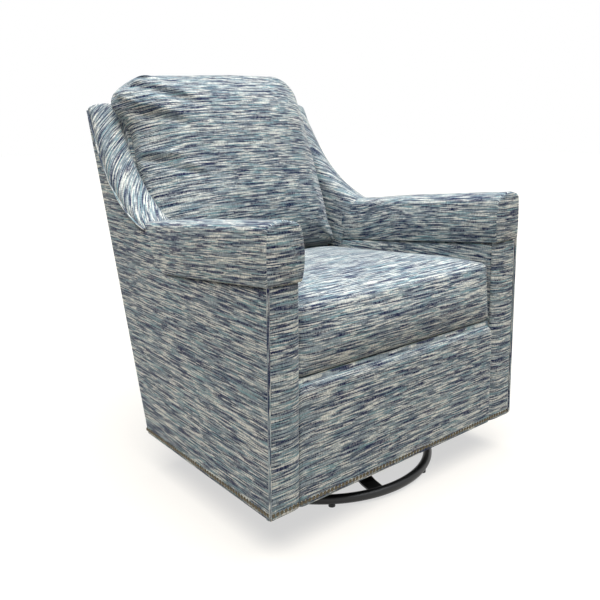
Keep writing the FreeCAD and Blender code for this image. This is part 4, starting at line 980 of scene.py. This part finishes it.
def rounded_loop(half_near, half_far, near, far, radii, per=10):
    """Loop of a four-sided plan with rounded corners, from the near left corner round to the far left one."""
    turn = np.linspace(0, math.pi / 2, per)
    corners = [(-half_near, near, 1, 1, math.pi), (half_near, near, -1, 1, 1.5 * math.pi),
               (half_far, far, -1, -1, 0.0), (-half_far, far, 1, -1, 0.5 * math.pi)]
    arcs = [np.stack([x + sx * r + r * np.cos(way + turn), y + sy * r + r * np.sin(way + turn)], -1)
            for (x, y, sx, sy, way), r in zip(corners, radii)]
    share = np.linspace(0, 1, 40)[1:-1, None]
    runs = [arc[-1] * (1 - share) + after[0] * share for arc, after in zip(arcs, arcs[1:] + arcs[:1])]
    return np.concatenate([part for pair in zip(arcs, runs) for part in pair])


def box_levels(tall, low, ease, crown, spread, steps=9):
    """Heights and insets of the loops of a box cushion: a lower edge of radius low, an upright band, an upper edge
    of radius ease and a crown that rises as a parabola while the loops draw in over the spread."""
    turn = np.linspace(0, math.pi / 2, 6)
    share = np.linspace(0, 1, steps)[1:]
    return np.concatenate([
        np.stack([low * (1 - np.cos(turn)), low * (1 - np.sin(turn))], -1),
        np.stack([np.linspace(low, tall - ease, 8)[1:-1], np.zeros(6)], -1),
        np.stack([tall - ease * (1 - np.sin(turn)), ease * (1 - np.cos(turn))], -1),
        np.stack([tall + crown * (1 - (1 - share) ** 2), ease + spread * share], -1)])


def plan_inset(x, y, room, near, far, r):
    """Distance inwards from the edge of a plan with rounded corners."""
    across = np.abs(x) - room + r
    along = np.abs(y - (near + far) / 2) - (far - near) / 2 + r
    return r - np.hypot(np.maximum(across, 0), np.maximum(along, 0)) - np.minimum(np.maximum(across, along), 0)


def fill_cushion(name, rings, c, held):
    """Voxel mesh of the lofted rings, swollen by cloth under pressure with its seams held, each point moved by no
    more than the swell. Gives the points before and after, and the faces."""
    pressure, moments = 4.0, 20
    points, faces, _ = loft(rings, rings[..., :2])
    piece = make_piece(name, points, faces, points)
    even = piece.modifiers.new("even", "REMESH")
    even.mode = "VOXEL"
    even.voxel_size = c.voxel
    mesh = bpy.data.meshes.new_from_object(piece.evaluated_get(bpy.context.evaluated_depsgraph_get()))
    piece.modifiers.clear()
    piece.data = mesh
    start = np.empty(len(mesh.vertices) * 3)
    mesh.vertices.foreach_get("co", start)
    start = start.reshape(-1, 3)
    faces = [list(face.vertices) for face in mesh.polygons]
    end = start.copy()
    group = piece.vertex_groups.new(name="held")
    group.add(np.flatnonzero(held(start)).tolist(), 1.0, "REPLACE")
    cloth = piece.modifiers.new("fill", "CLOTH")
    cloth.settings.use_pressure = True
    cloth.settings.uniform_pressure_force = pressure
    cloth.settings.effector_weights.gravity = 0.0
    cloth.settings.vertex_group_mass = group.name
    cloth.point_cache.frame_start = 1
    cloth.point_cache.frame_end = moments
    for moment in range(1, moments + 1):
        bpy.context.scene.frame_set(moment)
    done = piece.evaluated_get(bpy.context.evaluated_depsgraph_get()).to_mesh()
    end = np.empty(len(done.vertices) * 3)
    done.vertices.foreach_get("co", end)
    end = end.reshape(-1, 3)
    bpy.context.scene.frame_set(1)
    bpy.data.objects.remove(piece)
    move = end - start
    far = np.linalg.norm(move, axis=1, keepdims=True)
    return start, start + move * np.minimum(1, c.swell / np.maximum(far, 1e-9)), faces


def finish_cushion(context, name, points, faces, weave):
    """Dress a filled cushion, smoothed once."""
    piece = make_piece("soft_" + name, points, faces, weave, 180.0)
    smooth = piece.modifiers.new("smooth", "SUBSURF")
    smooth.levels = smooth.render_levels = 1
    dress(piece, cloth_of(context), [name])


class GliderSeatCushion(GliderStep):
    """Loose box seat cushion"""
    bl_idname = "glider.seat_cushion"
    bl_label = "Seat cushion"

    def build(self, context, b, c):
        tall, low_edge, ease, r = c.seat_band, 0.014, 0.008, c.corner
        sewn, held_wide, spread, least = 0.3 * ease, 0.004, 0.19, 0.004
        lean = math.tan(b.rake - c.seat_pitch)
        meet = back_depth(b, c.seat_front, b.pad_layer) / (1 + math.tan(b.rake) * math.tan(c.seat_pitch))
        near, foot = 0.009, meet / math.cos(c.seat_pitch) - 0.006

        def room(y):
            """Half of the width between the arms."""
            return half_width(b, y, b.arm) - c.seat_gap

        rings = []
        for z, inset in box_levels(tall, low_edge, ease, c.seat_crown * 0.6, spread):
            far = foot + z * lean - inset
            loop = rounded_loop(room(near) - inset, room(far) - inset, near + inset, far,
                                [max(r - 0.4 * inset, least)] * 4)
            rings.append(np.concatenate([loop, np.full((len(loop), 1), z)], axis=1))

        def inset_of(p):
            """Distance inwards from the band."""
            return plan_inset(p[:, 0], p[:, 1], room(p[:, 1]), near, foot + p[:, 2] * lean, r)

        def seam_gap(p):
            """Distance to the nearer of the two seams, which run where the rounded edges turn."""
            up = np.minimum(np.abs(p[:, 2] - tall + sewn), np.abs(p[:, 2] - sewn))
            return np.hypot(inset_of(p) - sewn, up)

        start, end, faces = fill_cushion("seat_form", np.stack(rings), c, lambda p: seam_gap(p) < held_wide)
        x, y, z = start.T
        band = inset_of(start) < np.minimum(tall - z, z)
        weave = np.stack([np.where(band, np.sign(x) * (np.abs(x) + y - near), x),
                          np.where(band, z, np.where(z > tall / 2, tall + y - near, near - y))], axis=-1)
        dent_deep, dent_wide, bulge = 0.0036, 0.0045, 0.006
        front_reach, rear_reach, lip, front_part = 0.022, 0.004, 0.03, 0.1
        dent = dent_deep * np.exp(-(seam_gap(start) / dent_wide) ** 2)
        middle = np.array([0.0, (near + foot) / 2, tall / 2])
        inward = middle - start
        inward[:, 0] *= 0.4
        inward /= np.linalg.norm(inward, axis=1, keepdims=True)
        end = end + dent[:, None] * inward
        front = np.clip(1 - inset_of(start) / lip, 0, 1) * (y < front_part)
        end[:, 1] -= bulge * front * np.clip(4 * z * (tall - z) / tall ** 2, 0, 1) * (1 - (x / room(y)) ** 4)
        end[:, 0] = np.clip(end[:, 0], -room(end[:, 1]), room(end[:, 1]))
        end[:, 1] = np.clip(end[:, 1], near - front_reach, foot + end[:, 2] * lean + rear_reach)
        end[:, 2] = np.maximum(end[:, 2], 0.001)
        tilt = np.array([[1, 0, 0], [0, math.cos(c.seat_pitch), -math.sin(c.seat_pitch)],
                         [0, math.sin(c.seat_pitch), math.cos(c.seat_pitch)]])
        finish_cushion(context, "seat_cushion", end @ tilt + [0, b.front, c.seat_front], faces, weave)


class GliderBackCushion(GliderStep):
    """Loose back cushion"""
    bl_idname = "glider.back_cushion"
    bl_label = "Back cushion"

    def settle(self, end, start, room, inset, tall, top):
        """The band fills the room between the wings and spreads over the left wing's tip, drooping a little there;
        the top edge and its corners keep their cut shape, the right corner wholly."""
        corner, rim, side_rim, clear = 0.09, 0.05, 0.03, 0.001
        below, slack, sunk = 0.070, 0.052, 0.012
        # Near the top corners the cloth goes back to its cut shape, on the left half way
        ends = np.hypot((room(start[:, 1]) - np.abs(start[:, 0])) / corner, (top - start[:, 1]) / corner)
        calm = np.exp(-ends ** 2) * np.where(start[:, 0] > 0, 1.0, 0.5)
        x, s, t = (end + (start - end) * calm[:, None]).T
        # The top edge doesn't sink below its cut
        s = s + np.maximum(start[:, 1] - s, 0) * np.exp(-((top - start[:, 1]) / rim) ** 2)
        # The sides of the band move out to the wings, but not at the top
        side = np.exp(-(np.maximum(inset, 0) / side_rim) ** 2) * np.clip(1.6 - t / tall, 0, 1)
        fill = np.maximum(room(s) - clear - np.abs(x), 0) * side * np.clip((top - below - s) / 0.05, 0, 1)
        fill = fill * (np.abs(start[:, 0]) > 0.15)
        # The left side spreads, most a little below the top, and droops
        spread = slack * np.exp(-((s - top + below) / np.where(s > top - below, 0.075, 0.050)) ** 2)
        spread = spread * np.clip((-x - 0.12) / 0.17, 0, 1)
        droop = sunk * np.clip((0.05 - x) / 0.33, 0, 1) * np.clip((s - 0.3) / 0.2, 0, 1)
        return np.stack([x + np.sign(x) * fill - spread, s - droop, t], axis=-1)

    def fold(self, points, tall):
        """Creases in the slack cloth of the left side: each is a valley with a ridge above it along a line, a
        Gaussian across and fading to both ends."""
        x, s, t = points.T
        depth = np.zeros(len(points))
        # Across and up where each crease starts, the same where it ends, its depth and its width
        creases = ((-0.300, 0.500, -0.090, 0.405, 0.0120, 0.014), (-0.300, 0.425, -0.150, 0.355, 0.0090, 0.012),
                   (-0.305, 0.300, -0.190, 0.262, 0.0120, 0.011), (-0.255, 0.268, -0.140, 0.215, 0.0075, 0.010),
                   (-0.275, 0.517, -0.205, 0.512, 0.0110, 0.007))
        for x0, s0, x1, s1, deep, wide in creases:
            way = np.array([x1 - x0, s1 - s0])
            size = np.hypot(*way)
            way /= size
            along = ((x - x0) * way[0] + (s - s0) * way[1]) / size
            off = (s - s0) * way[0] - (x - x0) * way[1]
            fade = np.exp(-((along - 0.4) / 0.42) ** 4)
            depth += deep * fade * (0.6 * np.exp(-((off - 1.5 * wide) / wide) ** 2) - np.exp(-(off / wide) ** 2))
        show = np.clip((t - 0.25 * tall) / (0.5 * tall), 0, 1)
        return points + np.stack([0 * t, 0 * t, depth * show], axis=-1)

    def build(self, context, b, c):
        foot = back_depth(b, c.back_bottom, b.pad_layer) - 0.001
        tall, ease, top = c.back_band, 0.014, c.back_length
        sewn, spread, loose = 0.3 * ease, 0.17, 0.004
        low_r, top_r, right_r = 0.024, 0.064, 0.088
        clear, held_tall, dent_deep, dent_wide = 0.002, 0.006, 0.002, 0.005

        def room(s):
            """Half of the width between the wings, where the cushion leans against the back."""
            depth = foot + s * math.sin(b.rake)
            return half_width(b, depth, b.arm) - clear

        rings = []
        for t, inset in box_levels(tall, ease, ease, c.back_crown * 0.8, spread):
            low, high = inset, top - inset
            loop = rounded_loop(room(low) - inset - loose, room(high) - inset - loose, low, high,
                                [max(low_r - 0.3 * inset, 0.004)] * 2
                                + [max(corner - 0.25 * inset, 0.006) for corner in (right_r, top_r)])
            rings.append(np.concatenate([loop, np.full((len(loop), 1), t)], axis=1))

        def inset_of(p):
            """Distance inwards from the band, by the radius of the nearest corner."""
            return plan_inset(p[:, 0], p[:, 1], room(p[:, 1]) - loose, 0.0, top,
                              np.where(p[:, 1] > top / 2, np.where(p[:, 0] > 0, right_r, top_r), low_r))

        def seam_gap(p):
            """Distance to the seam round the front of the band."""
            return np.hypot(inset_of(p) - sewn, p[:, 2] - tall + sewn)

        start, end, faces = fill_cushion("back_form", np.stack(rings), c, lambda p: p[:, 2] < held_tall)
        x, s, t = start.T
        round_side = room(s) - np.abs(x) < np.minimum(top - s, s)
        back = np.maximum(tall - t, 0)
        rear = t < np.minimum(np.minimum(room(s) - np.abs(x), np.minimum(top - s, s)), tall / 2)
        weave = np.stack([np.where(round_side & ~rear, np.sign(x) * (np.abs(x) + back), x),
                          np.where(rear, -s, np.where(round_side, s, s + back))], axis=-1)
        end = self.settle(end, start, room, inset_of(start), tall, top)
        end[:, 2] -= dent_deep * np.exp(-(seam_gap(start) / dent_wide) ** 2)
        end[:, 2] = np.maximum(end[:, 2], 0.0005)
        lean = np.array([[1, 0, 0], [0, math.sin(b.rake), math.cos(b.rake)],
                         [0, -math.cos(b.rake), math.sin(b.rake)]])
        end = self.fold(end, tall)
        finish_cushion(context, "back_cushion", end @ lean + [0, b.front + foot, c.back_bottom], faces, weave)


STEPS = (GliderStage, GliderFinishes, GliderSides, GliderArmFronts, GliderInsideArms, GliderCaps, GliderWings,
         GliderFrontRail, GliderBack, GliderDustCovers, GliderWebbing, GliderPiping, GliderSeatCushion,
         GliderBackCushion)
GROUPS = {"glider_body": GliderBody, "glider_cushions": GliderCushions, "glider_colours": GliderColours}


class GliderPanel(bpy.types.Panel):
    """Steps that dress the chair"""
    bl_idname = "VIEW3D_PT_glider"
    bl_label = "Swivel glider chair"
    bl_space_type = "VIEW_3D"
    bl_region_type = "UI"
    bl_category = "Glider"

    def draw(self, context):
        for step_class in STEPS:
            self.layout.operator(step_class.bl_idname)


def register():
    """Make the settings, steps and panel known to Blender."""
    for made in (*GROUPS.values(), *STEPS, GliderPanel):
        bpy.utils.register_class(made)
    for name, made in GROUPS.items():
        setattr(bpy.types.Scene, name, PointerProperty(type=made))


def unregister():
    """Take them away again."""
    for name in GROUPS:
        delattr(bpy.types.Scene, name)
    for made in reversed((*GROUPS.values(), *STEPS, GliderPanel)):
        bpy.utils.unregister_class(made)


def main():
    """Dress the chair step by step."""
    register()
    for step_class in STEPS:
        group, name = step_class.bl_idname.split(".")
        getattr(getattr(bpy.ops, group), name)()


if __name__ == "__main__":
    main()
